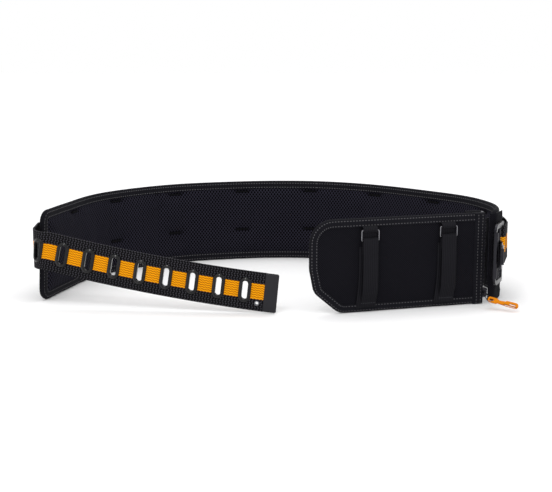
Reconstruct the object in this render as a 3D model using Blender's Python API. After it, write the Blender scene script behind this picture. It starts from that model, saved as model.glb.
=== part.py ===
"""Padded tool belt, standing open on its lower edge.

A padded waist pad in three flexing sections carries a slotted webbing strap round its outside.
The strap ends in a free tongue on the left and in a steel hook buckle on the right. A padded
front panel with two strap loops is zipped to the pad's right end.

Metres, +Z up. X runs along the wearer's left to right, +Y points to the back of the ring.
"""
import math

import bmesh
import bpy
import numpy as np
from mathutils import Matrix, Vector

GAP = 0.0004

# The whole belt is modelled about the back of the pad and then moved so that the middle of its
# bounding box's lower face is the origin.
ORIGIN = Vector((-0.0030, -0.1773, 0.0))

# Pad: a vertical wall that follows the belt line, wider round its lower edge than its upper one.
BELT_LINE = (
    (-0.292, -0.292), (-0.283, -0.222), (-0.258, -0.143), (-0.214, -0.086), (-0.150, -0.038),
    (-0.075, -0.012), (0.0, 0.0), (0.075, -0.008), (0.150, -0.045), (0.224, -0.110),
    (0.268, -0.160), (0.290, -0.215), (0.2915, -0.258), (0.279, -0.290),
)
BACK_POINT = 6
PAD_HEIGHT = 0.120
FLARE = 0.016
STATION = 0.015
LINING = (-0.0080, -0.0054)
CORE = (-0.0050, 0.0030)
SHELL = (0.0034, 0.0050)
BINDING_HALF = 0.0040
BINDING_WIDTH = 0.0075
CORNER_RADIUS = 0.010
FLEX_AT = 0.315
FLEX_GAP = 0.0070

# Strap of 50 mm webbing round the outside of the pad.
WEBBING_WIDTH = 0.050
WEBBING_HALF = 0.0012
WEBBING_OUT = 0.0088
WEBBING_MIDDLE = 0.076
LEFT_RISE = 0.0112
LEFT_RISE_FROM = -0.350
LEFT_WEBBING_END = -0.4390
RIGHT_WEBBING_END = 0.4205

KEEPER_PITCH = 0.105
END_KEEPER_AT = (-0.4085, 0.4055)
KEEPER_WIDTH = 0.025
KEEPER_HALF = 0.00075
KEEPER_TACK_OUT = 0.0063
KEEPER_OUT = 0.0130
LEFT_KEEPER_OUT = 0.0245
KEEPER_LOW = 0.041
KEEPER_HIGH = 0.111

# Tongue: the strap's free end, round a bend and then down to the ground at its tip.
TONGUE_HINGE = Vector((-0.3123, -0.2690))
TONGUE_LEAD = 0.0225
TONGUE_LEAD_HEADING = math.radians(-92.4)
TONGUE_HEADING = math.radians(-7.4)
TONGUE_BEND = 0.024
TONGUE_RUN = 0.297
TONGUE_TIP_LENGTH = 0.0165
TONGUE_START_HEIGHT = 0.0725
TONGUE_SLOPE = 0.2233
TONGUE_LEVELLING = 0.215
TONGUE_CLEARANCE = 0.0025
SLOT_PITCH = 0.0337
SLOT_FIRST = -0.0143
SLOT_COUNT = 9
SLOT_HALF_WIDTH = 0.0035
SLOT_HALF_HEIGHT = 0.0120
GROMMET_WALL = 0.0012
GROMMET_FLANGE = 0.0045
TIP_EYELET = (0.272, -0.015)
TIP_EYELET_RADIUS = 0.0019

# Front panel, in its own plane: distance from the zipper, height, and depth towards the wearer's
# front.
PANEL_HINGE = Vector((0.2697, -0.2958))
PANEL_HEADING = math.radians(180 + 16.4)
PANEL_NEAR = 0.0080
PANEL_FAR = 0.2384
PANEL_HEIGHT = 0.120
PANEL_CUT_HEIGHT = 0.028
PANEL_CUT_LENGTH = 0.033
PANEL_BINDING = 0.010
PANEL_HALF = 0.0045
PANEL_STRAPS = {"1": 0.1608, "2": 0.0545}
STRAP_WIDTH = 0.020
STRAP_HALF = 0.0007
RING_WIDTH = 0.0250
RING_OUT = 0.0086
RING_WIRE = 0.0010
RING_TOP = 0.1055
RING_BOTTOM = 0.0925
CORNER_RING_MIDDLE = 0.0110
CORNER_RING_BACK = -0.0078
CORNER_RING_TOP = 0.1228
CORNER_RING_BOTTOM = 0.1100

# Zipper between the panel and the pad's right end.
ZIP_LOW = 0.0235
ZIP_HIGH = 0.1120
TOOTH_PITCH = 0.0040
TOOTH_INNER = 0.0010
TOOTH_OUTER = 0.0024
TAPE_HALF = 0.0005
TOOTH_HALF = 0.0012
SLIDER_LOW = 0.0080
SLIDER_HIGH = 0.0200
SLIDER_HALF_WIDTH = 0.0045
LUG_HEIGHT = 0.0140
LINK_WIRE = 0.0006
LINK_HALF_WIDTH = 0.0022
LINK_LENGTH = 0.038
PULL_BORE = 0.0009

# Buckle: its far bar sits in the strap's fold, its near bar carries a roller.
BUCKLE_FAR = Vector((0.2941, -0.2864))
BUCKLE_NEAR = Vector((0.2798, -0.3195))
BUCKLE_MIDDLE = 0.067
BUCKLE_INNER_HEIGHT = 0.068
BUCKLE_BAR = 0.0034
BUCKLE_END_BAR = 0.0060
BUCKLE_HALF = 0.0015
FOLD_MIDDLE = 0.0758
FOLD_WIDTH = 0.0490
FOLD_HALF = 0.0010
FOLD_OUTER_OUT = 0.0125
FOLD_RADIUS = 0.0036
ROLLER_BORE = 0.0026
ROLLER_RADIUS = 0.0036
ROLLER_LENGTH = 0.060
PIN_RADIUS = 0.0019
HOOK_BARREL = 0.0036
HOOK_BORE = 0.0022
HOOK_HEIGHT = 0.034
HOOK_TAB_HEIGHT = 0.021

COLOURS = {
    "shell_fabric": ((0.012, 0.012, 0.015), 0.85, 0.0),
    "foam": ((0.020, 0.020, 0.024), 0.95, 0.0),
    "spacer_mesh": ((0.012, 0.012, 0.018), 0.90, 0.0),
    "binding_tape": ((0.016, 0.016, 0.019), 0.80, 0.0),
    "belt_webbing": ((0.014, 0.014, 0.016), 0.80, 0.0),
    "keeper_webbing": ((0.020, 0.020, 0.024), 0.65, 0.0),
    "eyelet": ((0.010, 0.010, 0.012), 0.30, 0.0),
    "tip_plastic": ((0.020, 0.020, 0.022), 0.45, 0.0),
    "ring_steel": ((0.600, 0.600, 0.620), 0.25, 1.0),
    "buckle_steel": ((0.060, 0.060, 0.070), 0.30, 1.0),
    "zipper_tape": ((0.015, 0.015, 0.018), 0.70, 0.0),
    "pull_plastic": ((0.830, 0.280, 0.010), 0.40, 0.0),
}


def clear_scene():
    for existing in list(bpy.data.objects):
        bpy.data.objects.remove(existing, do_unlink=True)


def new_collection(name):
    made = bpy.data.collections.new(name)
    bpy.context.scene.collection.children.link(made)
    return made


def new_material(name):
    colour, roughness, metallic = COLOURS[name]
    made = bpy.data.materials.new(name)
    made.use_nodes = True
    shader = made.node_tree.nodes["Principled BSDF"]
    shader.inputs["Base Color"].default_value = (*colour, 1.0)
    shader.inputs["Roughness"].default_value = roughness
    shader.inputs["Metallic"].default_value = metallic
    made.diffuse_color = (*colour, 1.0)
    return made


clear_scene()
PARTS = new_collection("tool_belt")
CUTTERS = new_collection("cutters")
CUTTERS.hide_render = True
MATERIALS = {name: new_material(name) for name in COLOURS}
BODIES = {}


def new_body(name, pivot, parent=None):
    """An empty on the joint's axis, which the pieces of one rigid body hang from."""
    empty = bpy.data.objects.new("axis_" + name, None)
    empty.empty_display_size = 0.02
    PARTS.objects.link(empty)
    if parent is None:
        empty.location = pivot - ORIGIN
    else:
        empty.parent = BODIES[parent][0]
        empty.location = pivot - BODIES[parent][1]
    BODIES[name] = (empty, pivot)


def place(mesh, name, body, material):
    """Puts a mesh, made where it belongs on the whole belt, under its body's empty."""
    mesh.name = name
    mesh.materials.clear()
    mesh.materials.append(MATERIALS[material])
    obj = bpy.data.objects.new(name, mesh)
    PARTS.objects.link(obj)
    empty, pivot = BODIES[body]
    obj.parent = empty
    obj.location = -pivot
    mesh.shade_smooth()
    mesh.set_sharp_from_angle(angle=math.radians(40))
    return obj


def mesh_of(curve):
    """The closed mesh of a curve, with its caps welded to its sides."""
    holder = bpy.data.objects.new("outline", curve)
    CUTTERS.objects.link(holder)
    graph = bpy.context.evaluated_depsgraph_get()
    mesh = bpy.data.meshes.new_from_object(holder.evaluated_get(graph))
    bpy.data.objects.remove(holder, do_unlink=True)
    bpy.data.curves.remove(curve)
    shape = bmesh.new()
    shape.from_mesh(mesh)
    bmesh.ops.remove_doubles(shape, verts=shape.verts, dist=1e-6)
    bmesh.ops.recalc_face_normals(shape, faces=shape.faces)
    shape.to_mesh(mesh)
    shape.free()
    return mesh


def add_loop(curve, points):
    spline = curve.splines.new("POLY")
    spline.points.add(len(points) - 1)
    for slot, point in zip(spline.points, points):
        slot.co = (*point, 1.0) if len(point) == 3 else (*point, 0.0, 1.0)
    return spline


def plate(loops, low, high, cuts=()):
    """A flat outline with holes, filled between two depths and cut across at each of cuts."""
    curve = bpy.data.curves.new("plate", "CURVE")
    curve.dimensions = "2D"
    curve.fill_mode = "BOTH"
    curve.extrude = (high - low) / 2
    for loop in loops:
        add_loop(curve, loop).use_cyclic_u = True
    mesh = mesh_of(curve)
    shape = bmesh.new()
    shape.from_mesh(mesh)
    bmesh.ops.translate(shape, verts=shape.verts, vec=(0.0, 0.0, (high + low) / 2))
    for cut in cuts:
        every = shape.verts[:] + shape.edges[:] + shape.faces[:]
        bmesh.ops.bisect_plane(
            shape, geom=every, dist=1e-7, plane_co=(cut, 0.0, 0.0), plane_no=(1.0, 0.0, 0.0)
        )
    shape.to_mesh(mesh)
    shape.free()
    return mesh


def wire(points, radius, closed=True, sides=2):
    """A round wire along the given points."""
    curve = bpy.data.curves.new("wire", "CURVE")
    curve.dimensions = "3D"
    curve.bevel_depth = radius
    curve.bevel_resolution = sides
    curve.use_fill_caps = True
    add_loop(curve, points).use_cyclic_u = closed
    return mesh_of(curve)


def turned_out(mesh):
    """The mesh with every face facing outwards."""
    shape = bmesh.new()
    shape.from_mesh(mesh)
    bmesh.ops.recalc_face_normals(shape, faces=shape.faces)
    if shape.calc_volume(signed=True) < 0:
        bmesh.ops.reverse_faces(shape, faces=shape.faces)
    shape.to_mesh(mesh)
    shape.free()
    return mesh


def reshape(mesh, move):
    """Moves every vertex by a function of its place."""
    for vertex in mesh.vertices:
        vertex.co = move(*vertex.co)
    return turned_out(mesh)


def combine(operation, first, *others):
    """One mesh from several closed ones, joined or cut by a Boolean."""
    base = bpy.data.objects.new("base", first)
    CUTTERS.objects.link(base)
    tools = []
    for other in others:
        tool = bpy.data.objects.new("tool", other)
        CUTTERS.objects.link(tool)
        modifier = base.modifiers.new("join", "BOOLEAN")
        modifier.operation = operation
        modifier.object = tool
        modifier.solver = "EXACT"
        tools.append(tool)
    graph = bpy.context.evaluated_depsgraph_get()
    mesh = bpy.data.meshes.new_from_object(base.evaluated_get(graph))
    for helper in [base, *tools]:
        bpy.data.objects.remove(helper, do_unlink=True)
    return mesh


def cylinder(radius, low, high, segments=20):
    """A closed cylinder about the local Z axis."""
    shape = bmesh.new()
    bmesh.ops.create_cone(
        shape, cap_ends=True, segments=segments, radius1=radius, radius2=radius, depth=high - low,
        matrix=Matrix.Translation((0.0, 0.0, (high + low) / 2)),
    )
    mesh = bpy.data.meshes.new("cylinder")
    shape.to_mesh(mesh)
    shape.free()
    return mesh


def box(low, high):
    """A closed box between two corners."""
    low, high = Vector(low), Vector(high)
    shape = bmesh.new()
    size = Matrix.Diagonal((*(high - low), 1.0))
    bmesh.ops.create_cube(shape, size=1.0, matrix=Matrix.Translation((low + high) / 2) @ size)
    mesh = bpy.data.meshes.new("box")
    shape.to_mesh(mesh)
    shape.free()
    return mesh


def moved(mesh, matrix):
    mesh.transform(matrix)
    return turned_out(mesh)


def ribbon(points, half):
    """The outline of a band of even thickness along a line of plan points."""
    points = [Vector(point) for point in points]
    left, right = [], []
    for i, here in enumerate(points):
        before = (here - points[max(i - 1, 0)]).normalized()
        after = (points[min(i + 1, len(points) - 1)] - here).normalized()
        along = (before + after).normalized()
        side = Vector((-along.y, along.x))
        reach = half / max(0.5, side.dot(Vector((-after.y, after.x))) if after.length else 1.0)
        left.append(here + side * reach)
        right.append(here - side * reach)
    return left + right[::-1]


def arc(centre, radius, start, end, steps):
    """Points on a circle, angles in degrees."""
    angles = [math.radians(start + (end - start) * i / steps) for i in range(steps + 1)]
    return [(centre[0] + radius * math.cos(a), centre[1] + radius * math.sin(a)) for a in angles]


def rounded(corners, radii, steps=4):
    """A convex outline whose corners, taken anticlockwise, are rounded."""
    outline = []
    count = len(corners)
    for i, radius in enumerate(radii):
        here = Vector(corners[i])
        back = (Vector(corners[i - 1]) - here).normalized()
        ahead = (Vector(corners[(i + 1) % count]) - here).normalized()
        if radius == 0:
            outline.append(here)
            continue
        half_angle = back.angle(ahead) / 2
        centre = here + (back + ahead).normalized() * radius / math.sin(half_angle)
        start = here + back * radius / math.tan(half_angle) - centre
        turn = math.pi - 2 * half_angle
        for step in range(steps + 1):
            outline.append(centre + Matrix.Rotation(turn * step / steps, 2) @ start)
    return outline


def inset(outline, distance):
    """An anticlockwise outline moved inwards by a distance."""
    moved_in = []
    for i, here in enumerate(outline):
        before = (here - outline[i - 1]).normalized()
        after = (outline[(i + 1) % len(outline)] - here).normalized()
        along = (before + after).normalized()
        inward = Vector((-along.y, along.x))
        moved_in.append(here + inward * distance / inward.dot(Vector((-after.y, after.x))))
    return moved_in


def stadium(half_width, half_height, steps=6, centre=(0.0, 0.0)):
    """A slot outline: straight sides and half-round ends, long way up."""
    straight = half_height - half_width
    top = arc((centre[0], centre[1] + straight), half_width, 0, 180, steps)
    bottom = arc((centre[0], centre[1] - straight), half_width, 180, 360, steps)
    return top + bottom


# ---------------------------------------------------------------- the belt line


def smooth_line(points, steps=24):
    """A Catmull-Rom curve through plan points, and the distance along it of each of its points."""
    knots = np.array(points)
    knots = np.vstack([2 * knots[0] - knots[1], knots, 2 * knots[-1] - knots[-2]])
    t = np.linspace(0.0, 1.0, steps, endpoint=False)[:, None]
    spans = []
    for a, b, c, d in zip(knots, knots[1:], knots[2:], knots[3:]):
        spans.append(
            0.5 * (2 * b + (c - a) * t + (2 * a - 5 * b + 4 * c - d) * t**2
                   + (3 * b - a - 3 * c + d) * t**3)
        )
    line = np.vstack([*spans, knots[-2]])
    lengths = np.concatenate([[0.0], np.cumsum(np.linalg.norm(np.diff(line, axis=0), axis=1))])
    return line, lengths - lengths[BACK_POINT * steps]


LINE, LENGTHS = smooth_line(BELT_LINE)
LEFT_END = LENGTHS[0]
RIGHT_END = LENGTHS[-1]


def on_line(along):
    return Vector((np.interp(along, LENGTHS, LINE[:, 0]), np.interp(along, LENGTHS, LINE[:, 1])))


def outward(along):
    tangent = (on_line(along + 0.002) - on_line(along - 0.002)).normalized()
    return Vector((-tangent.y, tangent.x))


def wrap(along, height, out):
    """A point of the belt, flared at its foot, from its place along, up and out of the pad."""
    along_kept = min(max(along, LEFT_END), RIGHT_END)
    plan = on_line(along_kept) + outward(min(max(along, LEFT_END + 0.003), RIGHT_END - 0.003)) * out
    return Vector((plan.x * (1 + FLARE * (1 - height / PAD_HEIGHT)), plan.y, height))


def stations(low, high):
    """Places along the belt line where wrapped pieces bend."""
    first, last = math.ceil(low / STATION), math.floor(high / STATION)
    return [i * STATION for i in range(first, last + 1)]


def wrapped(outline, depths, move=wrap):
    """A flat outline in length and height, given a thickness and wrapped round the belt line."""
    lows = [point[0] for point in outline]
    return reshape(plate([outline], *depths, cuts=stations(min(lows), max(lows))), move)


# ---------------------------------------------------------------- bodies

HINGE_OUT = 0.0080


def flex_pivot(along):
    return (on_line(along) + outward(along) * HINGE_OUT).to_3d()


def plan_frame(origin, along):
    """A frame at a plan point: X along a heading, Y up, Z to the right of the heading."""
    ahead = along.normalized()
    side = Vector((ahead.y, -ahead.x))
    return Matrix((
        (ahead.x, 0.0, side.x, origin.x),
        (ahead.y, 0.0, side.y, origin.y),
        (0.0, 1.0, 0.0, 0.0),
        (0.0, 0.0, 0.0, 1.0),
    ))


PANEL_ALONG = Vector((math.cos(PANEL_HEADING), math.sin(PANEL_HEADING)))
PANEL_FRONT = Vector((-PANEL_ALONG.y, PANEL_ALONG.x))
# Panel coordinates: distance from the zipper, height, depth towards the front.
PANEL_FRAME = Matrix((
    (PANEL_ALONG.x, 0.0, PANEL_FRONT.x, PANEL_HINGE.x),
    (PANEL_ALONG.y, 0.0, PANEL_FRONT.y, PANEL_HINGE.y),
    (0.0, 1.0, 0.0, 0.0),
    (0.0, 0.0, 0.0, 1.0),
))
BUCKLE_ALONG = (BUCKLE_NEAR - BUCKLE_FAR).normalized()
BUCKLE_OUT = Vector((-BUCKLE_ALONG.y, BUCKLE_ALONG.x))
BUCKLE_REACH = (BUCKLE_NEAR - BUCKLE_FAR).length
PIN_AT = BUCKLE_FAR + BUCKLE_ALONG * BUCKLE_REACH * 0.5
LUG = (PANEL_HINGE + PANEL_FRONT * 0.0052).to_3d() + Vector((0.0, 0.0, LUG_HEIGHT))
LINK_AHEAD = Vector((0.0, -1.0, -0.040)).normalized()
LINK_ACROSS = Vector((1.0, 0.0, 0.0))
PULL_AT = LUG + LINK_AHEAD * (LINK_LENGTH - 0.0065) + LINK_ACROSS * LINK_HALF_WIDTH
PULL_END = Vector((0.3055, -0.3430, 0.0070))
LUG_FRAME = Matrix((
    (LINK_ACROSS.x, 0.0, LINK_AHEAD.x, LUG.x),
    (LINK_ACROSS.y, 0.0, LINK_AHEAD.y, LUG.y),
    (0.0, 1.0, LINK_AHEAD.z, LUG.z),
    (0.0, 0.0, 0.0, 1.0),
))


def ring_pivot(middle):
    return PANEL_FRAME @ Vector((middle, RING_TOP, RING_OUT))


def build_bodies():
    new_body("back", Vector((0.0, 0.0, 0.0)))
    new_body("left_wing", flex_pivot(-FLEX_AT), "back")
    new_body("right_wing", flex_pivot(FLEX_AT), "back")
    new_body("tongue", TONGUE_HINGE.to_3d(), "left_wing")
    new_body("panel", PANEL_HINGE.to_3d(), "right_wing")
    for number, middle in PANEL_STRAPS.items():
        new_body("ring_" + number, ring_pivot(middle), "panel")
    new_body("slider", PANEL_HINGE.to_3d(), "right_wing")
    new_body("link", LUG, "slider")
    new_body("pull", PULL_AT, "link")
    new_body("buckle", BUCKLE_FAR.to_3d(), "right_wing")
    new_body("roller", BUCKLE_NEAR.to_3d(), "buckle")
    new_body("hook", PIN_AT.to_3d(), "buckle")


# ---------------------------------------------------------------- waist pad


def rectangle(left, right, low, high):
    return [(left, low), (right, low), (right, high), (left, high)]


def build_layers(section, body, left, right):
    """Outer fabric, foam and mesh lining of one section of the pad."""
    low, high = BINDING_WIDTH + GAP, PAD_HEIGHT - BINDING_WIDTH - GAP
    outline = rectangle(left, right, low, high)
    place(wrapped(outline, SHELL), section + "_shell", body, "shell_fabric")
    place(wrapped(outline, CORE), section + "_foam", body, "foam")
    place(wrapped(outline, LINING), section + "_lining", body, "spacer_mesh")


def build_wing_binding(name, body, end, root):
    """The tape round one wing: along the top, round the free end and back along the foot."""
    inner_end = end + math.copysign(BINDING_WIDTH, root - end)
    corners = [
        (root, 0.0), (end, 0.0), (end, PAD_HEIGHT), (root, PAD_HEIGHT),
        (root, PAD_HEIGHT - BINDING_WIDTH), (inner_end, PAD_HEIGHT - BINDING_WIDTH),
        (inner_end, BINDING_WIDTH), (root, BINDING_WIDTH),
    ]
    mesh = wrapped(corners, (-BINDING_HALF, BINDING_HALF))
    place(mesh, name, body, "binding_tape")


def build_pad():
    inner = FLEX_AT - FLEX_GAP / 2
    outer = FLEX_AT + FLEX_GAP / 2
    end_inset = BINDING_WIDTH + GAP
    build_layers("back", "back", -inner, inner)
    build_layers("left", "left_wing", LEFT_END + end_inset, -outer)
    build_layers("right", "right_wing", outer, RIGHT_END - end_inset)
    binding_depth = (-BINDING_HALF, BINDING_HALF)
    for name, low in (("top", PAD_HEIGHT - BINDING_WIDTH), ("bottom", 0.0)):
        outline = rectangle(-inner, inner, low, low + BINDING_WIDTH)
        place(wrapped(outline, binding_depth), f"back_{name}_binding", "back", "binding_tape")
    build_wing_binding("left_binding", "left_wing", LEFT_END, -outer)
    build_wing_binding("right_binding", "right_wing", RIGHT_END, outer)


# ---------------------------------------------------------------- outer strap


def left_rise(along):
    """How far the strap stands off the pad as it leaves it near the left end."""
    share = (LEFT_RISE_FROM - along) / (LEFT_RISE_FROM - LEFT_WEBBING_END)
    share = min(max(share, 0.0), 1.0)
    return LEFT_RISE * share * share * (3 - 2 * share)


def build_strap():
    inner = FLEX_AT - FLEX_GAP / 2
    outer = FLEX_AT + FLEX_GAP / 2
    low, high = WEBBING_MIDDLE - WEBBING_WIDTH / 2, WEBBING_MIDDLE + WEBBING_WIDTH / 2
    depths = (WEBBING_OUT - WEBBING_HALF, WEBBING_OUT + WEBBING_HALF)
    sections = (
        ("back_webbing", "back", -inner, inner),
        ("left_webbing", "left_wing", LEFT_WEBBING_END, -outer),
        ("right_webbing", "right_wing", outer, RIGHT_WEBBING_END),
    )
    for name, body, left, right in sections:
        mesh = wrapped(
            rectangle(left, right, low, high), depths,
            lambda along, height, out: wrap(along, height, out + left_rise(along)),
        )
        place(mesh, name, body, "belt_webbing")


def build_keeper(name, body, along, out):
    """A short band over the strap, tacked to the pad above and below it."""
    band = ribbon(
        [
            (KEEPER_TACK_OUT, KEEPER_LOW), (KEEPER_TACK_OUT, KEEPER_LOW + 0.0055),
            (out - 0.0010, KEEPER_LOW + 0.0078), (out, KEEPER_LOW + 0.0095),
            (out, KEEPER_HIGH - 0.0095), (out - 0.0010, KEEPER_HIGH - 0.0078),
            (KEEPER_TACK_OUT, KEEPER_HIGH - 0.0055), (KEEPER_TACK_OUT, KEEPER_HIGH),
        ],
        KEEPER_HALF,
    )
    mesh = plate([band], -KEEPER_WIDTH / 2, KEEPER_WIDTH / 2)
    origin, side = on_line(along), outward(along)

    def stand(out_here, height, across):
        spot = origin + side * out_here + Vector((side.y, -side.x)) * across
        return Vector((spot.x * (1 + FLARE * (1 - height / PAD_HEIGHT)), spot.y, height))

    place(reshape(mesh, stand), name, body, "keeper_webbing")


def build_keepers():
    places = [(i - 3.5) * KEEPER_PITCH for i in range(8)]
    places = [END_KEEPER_AT[0], *places, END_KEEPER_AT[1]]
    for number, along in enumerate(places, 1):
        body = "back" if abs(along) < FLEX_AT else ("left_wing" if along < 0 else "right_wing")
        out = LEFT_KEEPER_OUT if number == 1 else KEEPER_OUT
        out = out if number != 2 else KEEPER_OUT + left_rise(along) + 0.0005
        build_keeper(f"keeper_{number:02d}", body, along, out)


# ---------------------------------------------------------------- tongue


BEND_TURN = TONGUE_HEADING - TONGUE_LEAD_HEADING
BEND_LENGTH = TONGUE_BEND * BEND_TURN
TONGUE_START = -TONGUE_LEAD - BEND_LENGTH


def tongue_line(along):
    """Plan point and heading of the tongue, measured from the end of its bend."""
    lead = Vector((math.cos(TONGUE_LEAD_HEADING), math.sin(TONGUE_LEAD_HEADING)))
    if along < -BEND_LENGTH:
        return TONGUE_HINGE + lead * (along - TONGUE_START), TONGUE_LEAD_HEADING
    bend_start = TONGUE_HINGE + lead * TONGUE_LEAD
    centre = bend_start + Vector((-lead.y, lead.x)) * TONGUE_BEND
    heading = TONGUE_LEAD_HEADING + BEND_TURN * min(1.0, (along + BEND_LENGTH) / BEND_LENGTH)
    spot = centre + Vector((math.sin(heading), -math.cos(heading))) * TONGUE_BEND
    run = max(0.0, along)
    return spot + Vector((math.cos(heading), math.sin(heading))) * run, heading


def tongue_fall(along):
    """Height of the tongue's middle line and its downward slope."""
    run = max(0.0, along)
    height = TONGUE_START_HEIGHT - TONGUE_SLOPE * run + TONGUE_LEVELLING * run * run
    slope = TONGUE_SLOPE - 2 * TONGUE_LEVELLING * run
    ease = min(max((along - TONGUE_START) / (BEND_LENGTH + TONGUE_LEAD), 0.0), 1.0)
    if along < 0:
        before = WEBBING_MIDDLE - TONGUE_START_HEIGHT
        height += before * (1 - ease) ** 2
        slope *= ease
    return height, slope


def drape(along, up, out):
    """A point of the tongue from its place on the flat strap."""
    middle, slope = tongue_fall(along)
    tilt = math.atan(slope)
    spot, heading = tongue_line(along + up * math.sin(tilt))
    middle = tongue_fall(along)[0]
    side = Vector((math.sin(heading), -math.cos(heading)))
    plan = spot + side * out
    return Vector((plan.x, plan.y, middle + up * math.cos(tilt)))


def slot_places():
    return [SLOT_FIRST + i * SLOT_PITCH for i in range(SLOT_COUNT)]


def grommet(along):
    """An oval eyelet: a short tube through the strap with a flange on each face."""
    path = [
        (x * 1.0, y * 1.0, 0.0)
        for x, y in stadium(SLOT_HALF_WIDTH, SLOT_HALF_HEIGHT, steps=5)
    ]
    section = bpy.data.curves.new("section", "CURVE")
    section.dimensions = "2D"
    wall, flange = GROMMET_WALL, GROMMET_FLANGE
    grip, lip = WEBBING_HALF + GAP, WEBBING_HALF + GAP + 0.0004
    crown = WEBBING_HALF + 0.0016
    profile = [
        (0.0, -grip), (wall, -crown), (flange, -lip), (flange, -grip), (wall, -grip),
        (wall, grip), (flange, grip), (flange, lip), (wall, crown), (0.0, grip),
    ]
    add_loop(section, profile).use_cyclic_u = True
    guide = bpy.data.objects.new("section", section)
    CUTTERS.objects.link(guide)
    curve = bpy.data.curves.new("ring", "CURVE")
    curve.dimensions = "3D"
    curve.bevel_mode = "OBJECT"
    curve.bevel_object = guide
    curve.twist_mode = "Z_UP"
    add_loop(curve, path).use_cyclic_u = True
    mesh = mesh_of(curve)
    bpy.data.objects.remove(guide, do_unlink=True)
    middle, slope = tongue_fall(along)
    spot, heading = tongue_line(along)
    tilt = math.atan(slope)
    ahead = Vector((math.cos(heading) * math.cos(tilt), math.sin(heading) * math.cos(tilt),
                    -math.sin(tilt)))
    side = Vector((math.sin(heading), -math.cos(heading), 0.0))
    upward = side.cross(ahead)
    frame = Matrix((
        (ahead.x, upward.x, side.x, spot.x),
        (ahead.y, upward.y, side.y, spot.y),
        (ahead.z, upward.z, side.z, middle),
        (0.0, 0.0, 0.0, 1.0),
    ))
    return moved(mesh, frame)


def build_tongue():
    half = WEBBING_WIDTH / 2
    tip_start = TONGUE_RUN - TONGUE_TIP_LENGTH
    start = TONGUE_START + TONGUE_CLEARANCE
    clear = GROMMET_WALL + GAP
    slots = [
        stadium(SLOT_HALF_WIDTH + clear, SLOT_HALF_HEIGHT + clear, centre=(along, 0.0))
        for along in slot_places()
    ]
    eyelet = arc(TIP_EYELET, TIP_EYELET_RADIUS, 0, 324, 9)
    bends = [TONGUE_START + TONGUE_LEAD + BEND_LENGTH * i / 8 for i in range(9)]
    straights = [i * SLOT_PITCH + SLOT_FIRST + SLOT_PITCH / 2 for i in range(1, SLOT_COUNT)]
    strip = plate(
        [rectangle(start, tip_start - GAP, -half, half), *slots, eyelet],
        -WEBBING_HALF, WEBBING_HALF, cuts=[*bends, *straights],
    )
    place(reshape(strip, drape), "tongue_webbing", "tongue", "belt_webbing")
    tip_outline = rounded(
        rectangle(tip_start, TONGUE_RUN, -half, half), (0.0, 0.003, 0.003, 0.0), steps=3
    )
    tip = plate([tip_outline], -0.0017, 0.0017, cuts=[tip_start + 0.008])
    place(reshape(tip, drape), "tongue_tip", "tongue", "tip_plastic")
    for number, along in enumerate(slot_places()[1:], 1):
        place(grommet(along), f"grommet_{number}", "tongue", "eyelet")


# ---------------------------------------------------------------- front panel


def panel_outline(distance=0.0):
    """The panel's edge: square at the zipper, a wide round upper corner and a cut lower one."""
    corners = [
        (PANEL_NEAR, 0.0), (PANEL_FAR - 0.006 - PANEL_CUT_LENGTH, 0.0),
        (PANEL_FAR - 0.006, PANEL_CUT_HEIGHT), (PANEL_FAR, 0.058), (PANEL_FAR, PANEL_HEIGHT),
        (PANEL_NEAR, PANEL_HEIGHT),
    ]
    corners = inset([Vector(corner) for corner in corners], distance)
    radii = [max(radius - distance, 0.001) for radius in (0.003, 0.020, 0.020, 0.028, 0.030, 0.003)]
    return rounded(corners, radii)


def panel_band(name, body, points, half, width, middle, material):
    """A folded band on the panel, drawn as its section in depth and height."""
    mesh = plate([ribbon(points, half)], middle - width / 2, middle + width / 2)
    swap = Matrix(((0, 0, 1, 0), (0, 1, 0, 0), (1, 0, 0, 0), (0, 0, 0, 1)))
    place(moved(mesh, PANEL_FRAME @ swap), name, body, material)


def rectangular_ring(middle, bottom, top, out, wire_radius):
    """A rectangular wire ring with rounded corners, upright in the panel's plane."""
    half = RING_WIDTH / 2 - wire_radius
    corners = rectangle(middle - half, middle + half, bottom, top)
    outline = rounded(corners, (0.0022,) * 4, steps=3)
    return moved(wire([(p.x, p.y, out) for p in outline], wire_radius), PANEL_FRAME)


def build_panel():
    fabric = panel_outline(PANEL_BINDING + GAP)
    binding = plate([panel_outline(), panel_outline(PANEL_BINDING)], -PANEL_HALF, PANEL_HALF)
    place(moved(binding, PANEL_FRAME), "panel_binding", "panel", "binding_tape")
    layers = (
        ("panel_front", 0.0029, 0.0040, "shell_fabric"),
        ("panel_foam", -0.0025, 0.0025, "foam"),
        ("panel_back", -0.0040, -0.0029, "shell_fabric"),
    )
    for name, low, high, material in layers:
        place(moved(plate([fabric], low, high), PANEL_FRAME), name, "panel", material)


def loop_round(out, height, radius, start, end, steps=6):
    return arc((out, height), radius, start, end, steps)


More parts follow.
